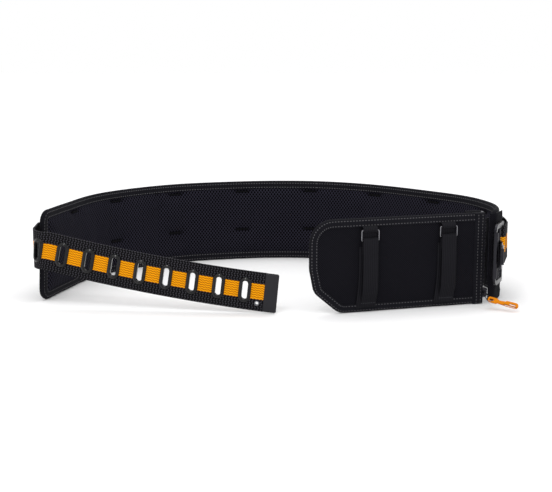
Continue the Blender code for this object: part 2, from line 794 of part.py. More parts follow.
def build_panel_straps():
    for number, middle in PANEL_STRAPS.items():
        ring = rectangular_ring(middle, RING_BOTTOM, RING_TOP, RING_OUT, RING_WIRE)
        place(ring, "panel_ring_" + number, "ring_" + number, "ring_steel")
        tab = [
            (0.0064, RING_TOP + 0.0075), (0.0095, RING_TOP + 0.0036),
            *loop_round(RING_OUT, RING_TOP, 0.0020, 10, -190),
            (0.0055, RING_TOP + 0.0055),
        ]
        panel_band("ring_tab_" + number, "panel", tab, 0.0005, 0.018, middle, "keeper_webbing")
        strap = [
            (0.0057, 0.0100), (0.0057, 0.0160), (0.0080, 0.0200), (0.0116, 0.0245),
            (0.0116, RING_BOTTOM - 0.0030),
            *loop_round(RING_OUT, RING_BOTTOM, 0.0031, 15, 180),
            (0.0064, RING_BOTTOM - 0.0030), (0.0093, RING_BOTTOM - 0.0065),
            (0.0098, RING_BOTTOM - 0.0080), (0.0098, RING_BOTTOM - 0.0150),
        ]
        panel_band(
            "panel_strap_" + number, "panel", strap, STRAP_HALF, STRAP_WIDTH, middle,
            "keeper_webbing",
        )
    ring = rectangular_ring(
        CORNER_RING_MIDDLE, CORNER_RING_BOTTOM, CORNER_RING_TOP, CORNER_RING_BACK, RING_WIRE
    )
    place(ring, "corner_ring", "panel", "ring_steel")
    tab = [
        (-0.0053, CORNER_RING_BOTTOM - 0.0080), (-0.0053, CORNER_RING_BOTTOM - 0.0030),
        *loop_round(CORNER_RING_BACK, CORNER_RING_BOTTOM, 0.0018, 0, 180),
        (-0.0093, CORNER_RING_BOTTOM - 0.0045), (-0.0068, CORNER_RING_BOTTOM - 0.0080),
    ]
    panel_band("corner_ring_tab", "panel", tab, 0.0005, 0.0115, 0.0143, "keeper_webbing")


# ---------------------------------------------------------------- zipper


def toothed_outline(edge):
    """A strip of tape whose free edge carries the zipper's teeth."""
    outline = [(edge, ZIP_HIGH), (edge, ZIP_LOW)]
    count = int((ZIP_HIGH - ZIP_LOW) / TOOTH_PITCH)
    side = math.copysign(1.0, edge)
    for i in range(count):
        low = ZIP_LOW + i * TOOTH_PITCH
        outline += [
            (side * TOOTH_OUTER, low), (side * TOOTH_OUTER, low + TOOTH_PITCH * 0.5),
            (side * TOOTH_INNER, low + TOOTH_PITCH * 0.55),
            (side * TOOTH_INNER, low + TOOTH_PITCH * 0.95),
        ]
    outline.append((side * TOOTH_OUTER, ZIP_LOW + count * TOOTH_PITCH))
    outline.append((side * TOOTH_OUTER, ZIP_HIGH))
    return outline


def build_zipper():
    panel_tape = plate([toothed_outline(PANEL_NEAR - GAP)], -TAPE_HALF, TAPE_HALF)
    place(moved(panel_tape, PANEL_FRAME), "zipper_panel_tape", "panel", "zipper_tape")
    belt_end = on_line(RIGHT_END)
    reach = belt_end - PANEL_HINGE
    belt_frame = plan_frame(PANEL_HINGE, reach)
    belt_tape = plate([toothed_outline(reach.length - 0.0048)], -TAPE_HALF, TAPE_HALF)
    place(moved(belt_tape, belt_frame), "zipper_belt_tape", "right_wing", "zipper_tape")

    front = rounded(
        rectangle(-SLIDER_HALF_WIDTH, SLIDER_HALF_WIDTH, SLIDER_LOW, SLIDER_HIGH),
        (0.0030, 0.0030, 0.0015, 0.0015), steps=3,
    )
    plates = [plate([front], low, low + 0.0013) for low in (-0.0032, 0.0017)]
    neck = box((-0.0004, SLIDER_LOW + 0.001, -0.0024), (0.0004, SLIDER_HIGH - 0.001, 0.0020))
    slider = combine("UNION", plates[0], plates[1], neck)
    lug = moved(box((-0.0013, -0.0021, -0.0036), (0.0013, 0.0021, 0.0018)), LUG_FRAME)
    hole = moved(cylinder(0.0011, -0.004, 0.004, 12), Matrix.Rotation(math.pi / 2, 4, "Y"))
    slider = combine("UNION", moved(slider, PANEL_FRAME), lug)
    slider = combine("DIFFERENCE", slider, moved(hole, LUG_FRAME))
    place(slider, "zipper_slider", "slider", "ring_steel")


def build_pull():
    """A long wire link on the slider's lug, and the moulded pull on the link's side."""
    half = LINK_HALF_WIDTH
    outline = rounded(rectangle(-half, half, 0.0, LINK_LENGTH), (0.0012,) * 4, steps=2)
    points = [LUG + LINK_ACROSS * p.x + LINK_AHEAD * p.y for p in outline]
    place(wire([tuple(p) for p in points], LINK_WIRE, sides=1), "pull_link", "link", "ring_steel")

    forward = PULL_END - PULL_AT
    forward -= LINK_AHEAD * forward.dot(LINK_AHEAD)
    end = forward.length
    forward.normalize()
    normal = forward.cross(LINK_AHEAD)
    frame = Matrix((
        (forward.x, LINK_AHEAD.x, normal.x, PULL_AT.x),
        (forward.y, LINK_AHEAD.y, normal.y, PULL_AT.y),
        (forward.z, LINK_AHEAD.z, normal.z, PULL_AT.z),
        (0.0, 0.0, 0.0, 1.0),
    ))
    outline = [
        (-0.0016, -0.0030), (-0.0006, -0.0042), (0.0050, -0.0046), (0.0095, -0.0025),
        (end - 0.0120, -0.0022), *arc((end, 0.0), 0.0037, -80, 80, 6),
        (end - 0.0120, 0.0022), (0.0095, 0.0025), (0.0050, 0.0046), (-0.0006, 0.0042),
        (-0.0016, 0.0030),
    ]
    loop = [(end - 0.0020 + y, x) for x, y in stadium(0.0013, 0.0045, steps=4)]
    pull = plate([outline, loop], -0.0014, 0.0014)
    bore = moved(cylinder(PULL_BORE, -0.01, 0.01, 12), Matrix.Rotation(math.pi / 2, 4, "X"))
    pull = combine("DIFFERENCE", turned_out(pull), bore)
    place(moved(pull, frame), "pull_tab", "pull", "pull_plastic")


# ---------------------------------------------------------------- buckle


def build_buckle():
    """Buckle pieces, drawn with the far bar at the origin, X towards the near bar, Y up."""
    frame = Matrix((
        (BUCKLE_ALONG.x, 0.0, BUCKLE_OUT.x, BUCKLE_FAR.x),
        (BUCKLE_ALONG.y, 0.0, BUCKLE_OUT.y, BUCKLE_FAR.y),
        (0.0, 1.0, 0.0, 0.0),
        (0.0, 0.0, 0.0, 1.0),
    ))
    bar = BUCKLE_BAR / 2
    half_inner = BUCKLE_INNER_HEIGHT / 2
    low, high = BUCKLE_MIDDLE - half_inner, BUCKLE_MIDDLE + half_inner
    outer = rounded(
        rectangle(-bar, BUCKLE_REACH + bar, low - BUCKLE_END_BAR, high + BUCKLE_END_BAR),
        (0.004, 0.010, 0.010, 0.004),
    )
    inner = rounded(rectangle(bar, BUCKLE_REACH - bar, low, high), (0.0015, 0.005, 0.005, 0.0015))
    mesh = moved(plate([outer, inner], -BUCKLE_HALF, BUCKLE_HALF), frame)
    place(mesh, "buckle_frame", "buckle", "buckle_steel")

    upright = Matrix.Translation(PIN_AT.to_3d())
    pin = cylinder(PIN_RADIUS, low + GAP, high - GAP, 12)
    place(moved(pin, upright), "buckle_pin", "buckle", "buckle_steel")

    middle = BUCKLE_MIDDLE
    tube = combine(
        "DIFFERENCE",
        cylinder(ROLLER_RADIUS, middle - ROLLER_LENGTH / 2, middle + ROLLER_LENGTH / 2, 20),
        cylinder(ROLLER_BORE, middle - ROLLER_LENGTH, middle + ROLLER_LENGTH, 16),
    )
    place(moved(tube, Matrix.Translation(BUCKLE_NEAR.to_3d())), "buckle_roller", "roller",
          "buckle_steel")

    turn = Matrix.Rotation(math.atan2(BUCKLE_ALONG.y, BUCKLE_ALONG.x), 4, "Z")
    half = HOOK_HEIGHT / 2
    barrel = cylinder(HOOK_BARREL, middle - half, middle + half, 16)
    reach = BUCKLE_REACH / 2
    arm_path = [
        (0.0022, 0.0022), (0.0070, 0.0048), (reach - 0.0080, 0.0066), (reach - 0.0035, 0.0072),
        (reach + 0.0005, 0.0076),
    ]
    arm = plate([ribbon(arm_path, 0.0009)], middle - half, middle + half)
    tab_path = [(reach - 0.0005, 0.0076), (reach + 0.0020, 0.0086), (reach + 0.0027, 0.0120)]
    tab = plate([ribbon(tab_path, 0.0009)], middle - HOOK_TAB_HEIGHT / 2,
                middle + HOOK_TAB_HEIGHT / 2)
    hook = combine("UNION", barrel, arm, tab)
    hook = combine("DIFFERENCE", hook, cylinder(HOOK_BORE, middle - 0.04, middle + 0.04, 12))
    place(moved(hook, upright @ turn), "buckle_hook", "hook", "buckle_steel")

    rivet_at = upright @ turn @ Matrix.Translation((0.0130, 0.0070, BUCKLE_MIDDLE + 0.0115))
    rivet = moved(cylinder(0.0026, 0.0014, 0.0026, 12), Matrix.Rotation(-math.pi / 2, 4, "X"))
    place(moved(rivet, rivet_at), "hook_rivet", "hook", "ring_steel")

    lean = 1 + FLARE * (1 - FOLD_MIDDLE / PAD_HEIGHT)
    inner_layer = ((GAP, WEBBING_OUT), (0.0115, 0.0083), (0.0225, 0.0075))
    inner = [fold_start(RIGHT_WEBBING_END + step, out, lean) for step, out in inner_layer]
    outer = fold_start(RIGHT_WEBBING_END + 0.0020, FOLD_OUTER_OUT, lean)
    heading = math.degrees(math.atan2(BUCKLE_ALONG.y, BUCKLE_ALONG.x))
    line = [*inner, *arc(BUCKLE_FAR, FOLD_RADIUS, heading - 90, heading + 90, 8), outer]
    fold = plate([ribbon(line, FOLD_HALF)], FOLD_MIDDLE - FOLD_WIDTH / 2,
                 FOLD_MIDDLE + FOLD_WIDTH / 2)
    place(fold, "buckle_fold", "right_wing", "belt_webbing")


def fold_start(along, out, lean):
    """A plan point beside the belt line, moved by the pad's lean at the fold's height."""
    spot = on_line(along) + outward(along) * out
    return Vector((spot.x * lean, spot.y))


def main():
    build_bodies()
    build_pad()
    build_strap()
    build_keepers()
    build_tongue()
    build_panel()
    build_panel_straps()
    build_zipper()
    build_pull()
    build_buckle()


main()
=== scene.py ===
"""Looks of the padded tool belt: cloth, webbing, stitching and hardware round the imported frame.

Metres throughout. Most shapes are first drawn flat, in the belt's own coordinates (length along
the belt line, height, distance out from the pad's middle), and then wrapped into place.
"""

import math

import bmesh
import bpy
import numpy as np
from mathutils import Matrix, Vector


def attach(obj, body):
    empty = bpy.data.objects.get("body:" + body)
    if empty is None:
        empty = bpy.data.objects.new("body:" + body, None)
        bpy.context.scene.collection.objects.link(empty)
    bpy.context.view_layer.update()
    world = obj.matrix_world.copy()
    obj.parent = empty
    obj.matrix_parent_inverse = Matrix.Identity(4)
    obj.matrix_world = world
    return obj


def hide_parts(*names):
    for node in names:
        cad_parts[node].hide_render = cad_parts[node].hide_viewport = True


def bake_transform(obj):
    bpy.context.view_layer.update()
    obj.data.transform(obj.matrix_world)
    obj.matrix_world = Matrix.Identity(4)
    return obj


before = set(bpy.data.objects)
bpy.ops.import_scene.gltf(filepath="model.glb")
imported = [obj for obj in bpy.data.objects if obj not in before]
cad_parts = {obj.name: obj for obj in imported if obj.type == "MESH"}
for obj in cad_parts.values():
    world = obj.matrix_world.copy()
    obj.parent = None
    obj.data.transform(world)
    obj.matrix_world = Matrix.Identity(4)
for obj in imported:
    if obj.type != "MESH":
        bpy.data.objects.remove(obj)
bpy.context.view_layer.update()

# ---------------- sizes, as in the CAD part

ORIGIN = Vector((-0.0030, -0.1773, 0.0))
BELT_LINE = (
    (-0.292, -0.292), (-0.283, -0.222), (-0.258, -0.143), (-0.214, -0.086), (-0.150, -0.038),
    (-0.075, -0.012), (0.0, 0.0), (0.075, -0.008), (0.150, -0.045), (0.224, -0.110),
    (0.268, -0.160), (0.290, -0.215), (0.2915, -0.258), (0.279, -0.290),
)
BACK_POINT = 6
PAD_HEIGHT = 0.120
FLARE = 0.016
FLEX_AT = 0.315
FLEX_REACH = 0.020

WEBBING_WIDTH = 0.050
WEBBING_HALF = 0.0012
WEBBING_OUT = 0.0088
WEBBING_MIDDLE = 0.076
LEFT_RISE = 0.0112
LEFT_RISE_FROM = -0.350
LEFT_STRAP_END = -0.4390
LEFT_LEAN = 0.0118
LEFT_LEAN_FROM = -0.370
RIGHT_STRAP_END = 0.4205

KEEPER_PITCH = 0.105
KEEPER_PLACES = [(i - 3.5) * KEEPER_PITCH for i in range(8)]
TACK_ROWS = (0.0465, 0.1045)
END_KEEPER_AT = (-0.4085, 0.4055)
KEEPER_WIDTH = 0.025
KEEPER_HALF = 0.00080
KEEPER_OUT = 0.0132
LEFT_KEEPER_OUT = 0.0245
KEEPER_LOW = 0.041
KEEPER_HIGH = 0.111

TONGUE_HINGE = Vector((-0.3123, -0.2690))
TONGUE_LEAD = 0.0225
TONGUE_LEAD_HEADING = math.radians(-92.4)
TONGUE_HEADING = math.radians(-7.4)
TONGUE_BEND = 0.024
TONGUE_RUN = 0.297
TONGUE_TIP_LENGTH = 0.0165
TONGUE_START_HEIGHT = 0.0725
TONGUE_SLOPE = 0.2233
TONGUE_LEVELLING = 0.215
SLOT_PITCH = 0.0337
SLOT_AT = 0.0194
SLOT_HALF_WIDTH = 0.0035
SLOT_HALF_HEIGHT = 0.0120
GROMMET_WALL = 0.0012
GROMMET_FLANGE = 0.0045
TIP_EYELET = (0.272, -0.015)
TIP_EYELET_RADIUS = 0.0019

PANEL_HINGE = Vector((0.2697, -0.2958))
PANEL_HEADING = math.radians(180 + 16.4)
PANEL_FAR = 0.2384
PANEL_NEAR = 0.0030
PANEL_CUT_HEIGHT = 0.028
PANEL_CUT_LENGTH = 0.033
PANEL_STRAPS = {"1": 0.1608, "2": 0.0545}
RING_TOP = 0.1055
RING_BOTTOM = 0.0925
RING_OUT = 0.0086
RING_WIDTH = 0.0244
RING_WIRE = 0.00075
CORNER_RING_MIDDLE = 0.0110
CORNER_RING_OUT = -0.0074
CORNER_RING_TOP = 0.1194
CORNER_RING_BOTTOM = 0.1080

BUCKLE_FAR = Vector((0.2941, -0.2864))
BUCKLE_NEAR = Vector((0.2798, -0.3195))
FOLD_RADIUS = 0.0036
FOLD_OUTER_OUT = 0.0125
FOLD_INNER = ((0.0, WEBBING_OUT), (0.0115, 0.0083), (0.0225, 0.0075))
FOLD_HALF = 0.0010

# Where the pad and the strap are cut into a left and a right piece, the pad's in a crease.
PAD_SPLIT = 0.0630
STRAP_SPLIT = 0.0525

# ---------------- camera, light and floor

CAMERA_PLACE = Vector((0.0, -1.822, 0.370))
CAMERA_TILT = 79.07
FOCAL_LENGTH = 78.26
FLOOR_COLOUR = (0.90, 0.90, 0.905)


def added(name, data):
    """A new object in the scene."""
    obj = bpy.data.objects.new(name, data)
    bpy.context.scene.collection.objects.link(obj)
    return obj


def build_camera():
    data = bpy.data.cameras.new("camera")
    data.sensor_width = 36.0
    data.lens = FOCAL_LENGTH
    camera = added("camera", data)
    camera.location = CAMERA_PLACE - ORIGIN
    camera.rotation_euler = (math.radians(CAMERA_TILT), 0.0, 0.0)
    bpy.context.scene.camera = camera


def area_light(name, place, target, size, power):
    data = bpy.data.lights.new(name, "AREA")
    data.shape = "RECTANGLE"
    data.size, data.size_y = size
    data.energy = power
    light = added(name, data)
    light.location = place
    light.rotation_euler = (Vector(target) - Vector(place)).to_track_quat("-Z", "Y").to_euler()


def build_studio():
    world = bpy.data.worlds.new("studio")
    world.use_nodes = True
    background = world.node_tree.nodes.get("Background")
    background.inputs["Color"].default_value = (1.0, 1.0, 1.0, 1.0)
    background.inputs["Strength"].default_value = 1.0
    bpy.context.scene.world = world
    bpy.context.scene.view_settings.view_transform = "Standard"
    area_light("key", (-0.45, -1.45, 1.75), (0.0, -0.10, 0.05), (0.28, 0.28), 5.5)
    area_light("side", (1.4, -1.0, 1.0), (0.2, -0.05, 0.05), (0.35, 0.7), 3.5)
    area_light("top", (0.1, 0.45, 1.9), (0.0, 0.0, 0.0), (1.2, 0.5), 5.0)
    sun = bpy.data.lights.new("soft_sky", "SUN")
    sun.energy = 0.55
    sun.angle = math.radians(70)
    added("soft_sky", sun).rotation_euler = (math.radians(28), math.radians(-14), 0.0)

    shape = bmesh.new()
    bmesh.ops.create_grid(shape, x_segments=1, y_segments=1, size=6.0)
    floor = added("floor", mesh_from(shape))
    floor.location = (0.0, 0.0, -0.0004)
    nodes = Nodes("floor_paint")
    mottle = nodes.mix(nodes.noise(3.0), FLOOR_COLOUR, tuple(c * 0.993 for c in FLOOR_COLOUR))
    floor.data.materials.append(nodes.finish(mottle, 0.95))


# ---------------- materials


def operator(name):
    return lambda value, *other: value.nodes.math(name, value, *other)


class Value:
    """A node's output that can be used in sums."""

    def __init__(self, nodes, socket):
        self.nodes = nodes
        self.socket = socket

    def __rsub__(self, other):
        return self.nodes.math("SUBTRACT", other, self)

    __add__ = operator("ADD")
    __sub__ = operator("SUBTRACT")
    __mul__ = operator("MULTIPLY")
    __truediv__ = operator("DIVIDE")
    __abs__ = operator("ABSOLUTE")


class Nodes:
    """Short names for building a material's node tree."""

    def __init__(self, name):
        self.material = bpy.data.materials.new(name)
        self.material.use_nodes = True
        self.tree = self.material.node_tree
        self.shader = self.tree.nodes["Principled BSDF"]

    def put(self, value, socket):
        """Feeds an input with another node's value, a colour or a number."""
        if isinstance(value, Value):
            self.tree.links.new(value.socket, socket)
        else:
            socket.default_value = (*value, 1.0) if isinstance(value, tuple) else value

    def node(self, kind, output, inputs, **settings):
        node = self.tree.nodes.new(kind)
        for key, value in settings.items():
            setattr(node, key, value)
        for key, value in inputs.items():
            self.put(value, node.inputs[key])
        return Value(self, node.outputs[output])

    def math(self, operation, a, b=0.0, c=0.0):
        return self.node("ShaderNodeMath", 0, {0: a, 1: b, 2: c}, operation=operation)

    def place(self):
        return self.node("ShaderNodeTexCoord", "Object", {})

    def millimetres(self, vector, axis):
        return self.node("ShaderNodeSeparateXYZ", axis, {0: vector}) * 1000.0

    def uv(self):
        """Distance along and across the cloth, in millimetres."""
        cloth = self.node("ShaderNodeUVMap", 0, {}, uv_map="cloth")
        return self.millimetres(cloth, 0), self.millimetres(cloth, 1)

    def noise(self, scale, detail=3.0):
        inputs = {"Vector": self.place(), "Scale": scale, "Detail": detail}
        return self.node("ShaderNodeTexNoise", "Fac", inputs)

    def remap(self, *given):
        """A value moved from one range, low and high, to another."""
        inputs = dict(zip(("Value", "From Min", "From Max", "To Min", "To Max"), given))
        return self.node("ShaderNodeMapRange", "Result", inputs)

    def mix(self, factor, first, second):
        """A blend of two colours. The Mix node's colours are its inputs 6 and 7 and output 2."""
        return self.node("ShaderNodeMix", 2, {0: factor, 6: first, 7: second}, data_type="RGBA")

    def wave(self, value, period):
        """A smooth wave from 0 to 1."""
        sine = self.math("SINE", value * (2 * math.pi / period))
        return self.math("MULTIPLY_ADD", sine, 0.5, 0.5)

    def near(self, value, centre, half, soft):
        """1 within half of the centre, falling to 0 over a soft edge."""
        return self.remap(abs(value - centre), half, half + soft, 1.0, 0.0)

    def finish(self, colour, roughness, bump=None, **plain):
        """The finished material. bump is a height, the bump's strength and its distance."""
        plain.update(Base_Color=colour, Roughness=roughness)
        if bump:
            inputs = dict(zip(("Height", "Strength", "Distance"), bump))
            plain["Normal"] = self.node("ShaderNodeBump", "Normal", inputs)
        for key, value in plain.items():
            self.put(value, self.shader.inputs[key.replace("_", " ")])
        return self.material


def stitched(nodes, colour, rows, across, along, pitch, thread):
    """Dashed rows of thread over a colour. Each row is a distance across, in millimetres."""
    groove = nodes.near(across, rows[0], 0.36, 0.20)
    for row in rows[1:]:
        groove = nodes.math("MAXIMUM", groove, nodes.near(across, row, 0.36, 0.20))
    dashes = groove * nodes.remap(nodes.wave(along, pitch), 0.48, 0.60, 0.0, 1.0)
    return nodes.mix(dashes, colour, thread), groove, dashes


def make_spacer_mesh():
    """Honeycomb spacer mesh: small holes set diagonally, with painted shade in the holes and in the
    dimples where bar tacks pull it in.
    """
    nodes = Nodes("spacer_mesh_cloth")
    u, v = nodes.uv()
    holes = nodes.wave(u * 0.78 + v * 0.62, 3.7) * nodes.wave(v * 0.62 - u * 0.78, 3.7)
    # The holes are painted near-black: painted shade in the mesh's holes.
    shaded_hole = nodes.remap(holes, 0.04, 0.26, 0.0, 1.0)
    thread = nodes.mix(nodes.noise(14.0), (0.0175, 0.0166, 0.0258), (0.0262, 0.0249, 0.0378))
    colour = nodes.mix(shaded_hole, thread, (0.0002, 0.0002, 0.0004))
    # Painted shade in the dimples round each bar tack, along the two rows of tacks.
    pitch = KEEPER_PITCH * 1000
    apart = abs(nodes.math("FRACT", u / pitch) - 0.5) * pitch
    rows = (nodes.near(v, TACK_ROWS[0] * 1000, 1.0, 2.4)
            + nodes.near(v, TACK_ROWS[1] * 1000, 0.6, 1.5))
    dimple_shade = nodes.remap(apart, 8.0, 13.0, 1.0, 0.0) * rows
    colour = nodes.mix(dimple_shade * 0.88, colour, (0.0004, 0.0004, 0.0008))
    return nodes.finish(colour, 0.85, (1.0 - shaded_hole, 0.8, 0.0008), Specular_IOR_Level=0.03,
                        Sheen_Weight=0.01)


def make_shell():
    """Ballistic cloth in a plain weave: threads over and under each other."""
    nodes = Nodes("ballistic_cloth")
    u, v = nodes.uv()
    cross = abs(nodes.wave(u, 2.8) - nodes.wave(v, 2.8))
    thread = nodes.mix(nodes.noise(11.0), (0.0078, 0.0075, 0.0108), (0.0150, 0.0144, 0.0196))
    colour = nodes.mix(1.0 - cross, thread, (0.0010, 0.0010, 0.0018))
    return nodes.finish(colour, 0.88, (cross, 0.7, 0.0004), Specular_IOR_Level=0.05,
                        Sheen_Weight=0.01)


def make_binding(name, rows, thread=(0.080, 0.079, 0.084)):
    """Ribbed edge tape. Its second coordinate is the distance in from the edge."""
    nodes = Nodes(name)
    u, v = nodes.uv()
    rib = nodes.wave(v, 0.9)
    base = nodes.mix(nodes.noise(18.0), (0.0062, 0.0060, 0.0086), (0.0100, 0.0097, 0.0134))
    base = nodes.mix(rib * 0.6, base, (0.0020, 0.0020, 0.0030))
    colour, groove, dashes = stitched(nodes, base, rows, v, u, 4.0, thread)
    height = (rib + nodes.wave(u, 1.3) * 0.4) * 0.25 - groove + dashes * 1.2
    return nodes.finish(colour, 0.82, (height, 0.6, 0.0005), Specular_IOR_Level=0.06,
                        Sheen_Weight=0.02)


def make_webbing():
    """Heavy webbing with a chevron weave, and orange checks woven along its middle."""
    nodes = Nodes("checked_webbing")
    u, v = nodes.uv()
    pick = nodes.wave(v, 2.7)
    twill = nodes.wave(u + nodes.math("PINGPONG", v, 2.7) * 0.6, 3.7)
    relief = twill * 0.6 + pick * 0.4
    thread = nodes.mix(nodes.noise(20.0), (0.0330, 0.0320, 0.0375), (0.0470, 0.0456, 0.0535))
    raised = nodes.remap(relief, 0.46, 0.90, 0.0, 1.0)
    black = nodes.mix(raised, (0.0006, 0.0006, 0.0010), thread)

    pitch = SLOT_PITCH * 1000
    reach = abs(nodes.math("FRACT", u / pitch - SLOT_AT / SLOT_PITCH) - 0.5) * pitch
    across = abs(v) + pick * 0.25
    inside = nodes.remap(reach, 9.3, 9.8, 1.0, 0.0) * nodes.remap(across, 10.0, 10.3, 1.0, 0.0)
    fine = nodes.wave(v + nodes.math("PINGPONG", u, 2.1) * 0.6, 2.9)
    orange = nodes.mix(fine, (0.37, 0.110, 0.0005), (0.86, 0.345, 0.002))
    height = relief * (1.0 - inside) + fine * (inside * 0.5)
    return nodes.finish(nodes.mix(inside, black, orange), 0.80, (height, 0.75, 0.0007),
                        Specular_IOR_Level=0.07, Sheen_Weight=0.01)


def make_ribbed(name, rows=()):
    """Narrow webbing with ribs along its length, and rows of stitches across it."""
    nodes = Nodes(name)
    u, v = nodes.uv()
    rib = nodes.wave(v, 2.4)
    thread = nodes.mix(nodes.noise(25.0), (0.0062, 0.0060, 0.0084), (0.0120, 0.0116, 0.0152))
    colour = nodes.mix(rib * 0.7, thread, (0.0020, 0.0020, 0.0028))
    height = rib + nodes.wave(u, 0.9) * 0.35
    if rows:
        colour, groove, _ = stitched(nodes, colour, rows, u, v, 2.2, (0.035, 0.035, 0.040))
        height = height - groove
    return nodes.finish(colour, 0.72, (height, 0.5, 0.0004), Specular_IOR_Level=0.08,
                        Sheen_Weight=0.01)


def make_hard(name, colours, rough, wear, grain, bump, **plain):
    """Plastic, metal or thread. Wear varies its colour and roughness, and grain its surface."""
    nodes = Nodes(name)
    worn = nodes.noise(*wear)
    roughness = nodes.remap(worn, *rough) if isinstance(rough, tuple) else rough
    bump = (nodes.noise(*grain), *bump)
    return nodes.finish(nodes.mix(worn, *colours), roughness, bump, **plain)


def make_satin(name, dark, light, rough, gloss):
    return make_hard(name, (dark, light), (0.3, 0.7, rough, rough + 0.12), (30.0, 4.0),
                     (420.0, 2.0), (0.15, 0.0002), Specular_IOR_Level=gloss)


def make_metal(name, dark, light, rough):
    """Plated steel, a little brushed and handled."""
    return make_hard(name, (dark, light), (0.3, 0.7, rough, rough + 0.15), (60.0, 4.0),
                     (900.0, 1.0), (0.08, 0.0001), Metallic=1.0)


def make_zipper():
    nodes = Nodes("zipper_tape_and_teeth")
    rib = nodes.wave(nodes.millimetres(nodes.place(), 2), 1.0)
    colour = nodes.mix(rib, (0.0040, 0.0040, 0.0052), (0.0130, 0.0127, 0.0155))
    return nodes.finish(colour, 0.5, (rib, 0.4, 0.0002), Specular_IOR_Level=0.2)


MATERIALS = {
    "spacer_mesh": make_spacer_mesh(),
    "shell": make_shell(),
    "pad_binding": make_binding("pad_binding_tape", (3.5, 9.6), (0.105, 0.103, 0.110)),
    "panel_binding": make_binding("panel_binding_tape", (2.6, 8.6)),
    "seam_band": make_binding("seam_band_tape", (5.6, 11.4)),
    "checked_webbing": make_webbing(),
    "keeper_webbing": make_ribbed("keeper_webbing_ribbed"),
    "strap_webbing": make_ribbed("strap_webbing_ribbed", (6.0,)),
    "eyelet": make_hard("eyelet_gloss", ((0.0014, 0.0014, 0.0018), (0.0042, 0.0041, 0.0048)),
                        (0.35, 0.75, 0.10, 0.18), (160.0, 4.0), (160.0, 4.0), (0.10, 0.0002),
                        Specular_IOR_Level=0.26),
    "tip": make_satin("tongue_tip_satin", (0.0125, 0.0121, 0.0150), (0.0195, 0.0190, 0.0225),
                      0.48, 0.18),
    "orange": make_satin("pull_moulding", (0.56, 0.170, 0.0), (0.66, 0.205, 0.0), 0.5, 0.08),
    "ring": make_metal("bright_wire", (0.12, 0.12, 0.13), (0.28, 0.28, 0.30), 0.16),
    "buckle": make_metal("black_nickel", (0.016, 0.016, 0.019), (0.036, 0.035, 0.041), 0.22),
    "thread": make_hard("bar_tack_thread", ((0.0008, 0.0008, 0.0012), (0.0040, 0.0040, 0.0052)),
                        0.7, (900.0, 1.0), (900.0, 1.0), (0.5, 0.0003),
                        Specular_IOR_Level=0.1),
    "zipper": make_zipper(),
}


# ---------------- mesh helpers


def piece_of(mesh, name, material, slot, angle, body=None, *nodes):
    """Finishes a piece. It rides on a body, or is passed to the function given as body."""
    mesh.name = name
    if not mesh.materials:
        mesh.materials.append(MATERIALS[material])
    obj = added(name, mesh)
    mesh.shade_smooth()
    mesh.set_sharp_from_angle(angle=math.radians(angle))
    if callable(body):
        body(obj)
    elif body:
        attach(obj, body)
    if nodes:
        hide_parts(*nodes)
    return obj


def mesh_from(shape):
    bmesh.ops.recalc_face_normals(shape, faces=shape.faces)
    mesh = bpy.data.meshes.new("mesh")
    shape.to_mesh(mesh)
    shape.free()
    return mesh


def evaluated(obj):
    graph = bpy.context.evaluated_depsgraph_get()
    return bpy.data.meshes.new_from_object(obj.evaluated_get(graph))


def discard(obj):
    bpy.data.objects.remove(obj, do_unlink=True)


def clamped(value, low=0.0, high=1.0):
    return min(max(value, low), high)


def bell(distance, width):
    return math.exp(-((distance / width) ** 2))


def lay_cloth(shape, shift=0.0):
    """Writes the flat cloth's own coordinates, in metres."""
    layer = shape.loops.layers.uv.new("cloth")
    for face in shape.faces:
        for loop in face.loops:
            loop[layer].uv = (loop.vert.co.x + shift, loop.vert.co.y)


def bent(shape, move):
    for vertex in shape.verts:
        vertex.co = move(*vertex.co)


def mirrored(points):
    """One side of a section and its mirror image, as a closed section."""
    return points + [(d, -n) for d, n in points[::-1]]


def with_sides(line, closed=False):
    """Each flat point of a line, with the direction to its left."""
    padded = [line[-1], *line, line[0]] if closed else [line[0], *line, line[-1]]
    pairs = []
    for before, here, after in zip(padded, line, padded[2:]):
        ahead = (after - before).normalized()
        pairs.append((here, Vector((-ahead.y, ahead.x))))
    return pairs


def loft(rings, cloth=None, closed=False):
    """A tube through rings of points, whose cloth coordinates come from the ring and the point."""
    shape = bmesh.new()
    layer = shape.loops.layers.uv.new("cloth") if cloth else None
    grid = [[shape.verts.new(point) for point in ring] for ring in rings]
    count = len(grid[0])
    for k in range(len(grid) if closed else len(grid) - 1):
        for i in range(count):
            j = (i + 1) % count
            corners = ((k, i), (k, j), (k + 1, j), (k + 1, i))
            face = shape.faces.new([grid[row % len(grid)][column] for row, column in corners])
            if cloth:
                for loop, corner in zip(face.loops, corners):
                    loop[layer].uv = cloth(*corner)
    if not closed:
        shape.faces.new(grid[0])
        shape.faces.new(grid[-1][::-1])
    return mesh_from(shape)


def skins(columns, rows, point_at, materials):
    """Two facing grids of quads. point_at gives a point and whether stitching holds it, or None."""
    shape = bmesh.new()
    grid = {}
    held = []
    for side in (0, 1):
        for i in range(columns + 1):
            for j in range(rows + 1):
                found = point_at(side, i, j)
                if found:
                    grid[side, i, j] = shape.verts.new(found[0])
                    if found[1]:
                        held.append(grid[side, i, j])
    for i in range(columns):
        for j in range(rows):
            for side in (0, 1):
                keys = ((side, i, j), (side, i + 1, j), (side, i + 1, j + 1), (side, i, j + 1))
                ring = [grid[key] for key in keys if key in grid]
                if len(ring) >= 3:
                    shape.faces.new(ring).material_index = materials[side]
    return shape, grid, held


def arc(centre, radius, start, end, steps):
    angles = [math.radians(start + (end - start) * i / steps) for i in range(steps + 1)]
    return [(centre[0] + radius * math.cos(a), centre[1] + radius * math.sin(a)) for a in angles]


def stadium(half_width, half_height, steps=8, centre=(0.0, 0.0)):
    straight = half_height - half_width
    top = arc((centre[0], centre[1] + straight), half_width, 0, 180, steps)
    return top + arc((centre[0], centre[1] - straight), half_width, 180, 360, steps)


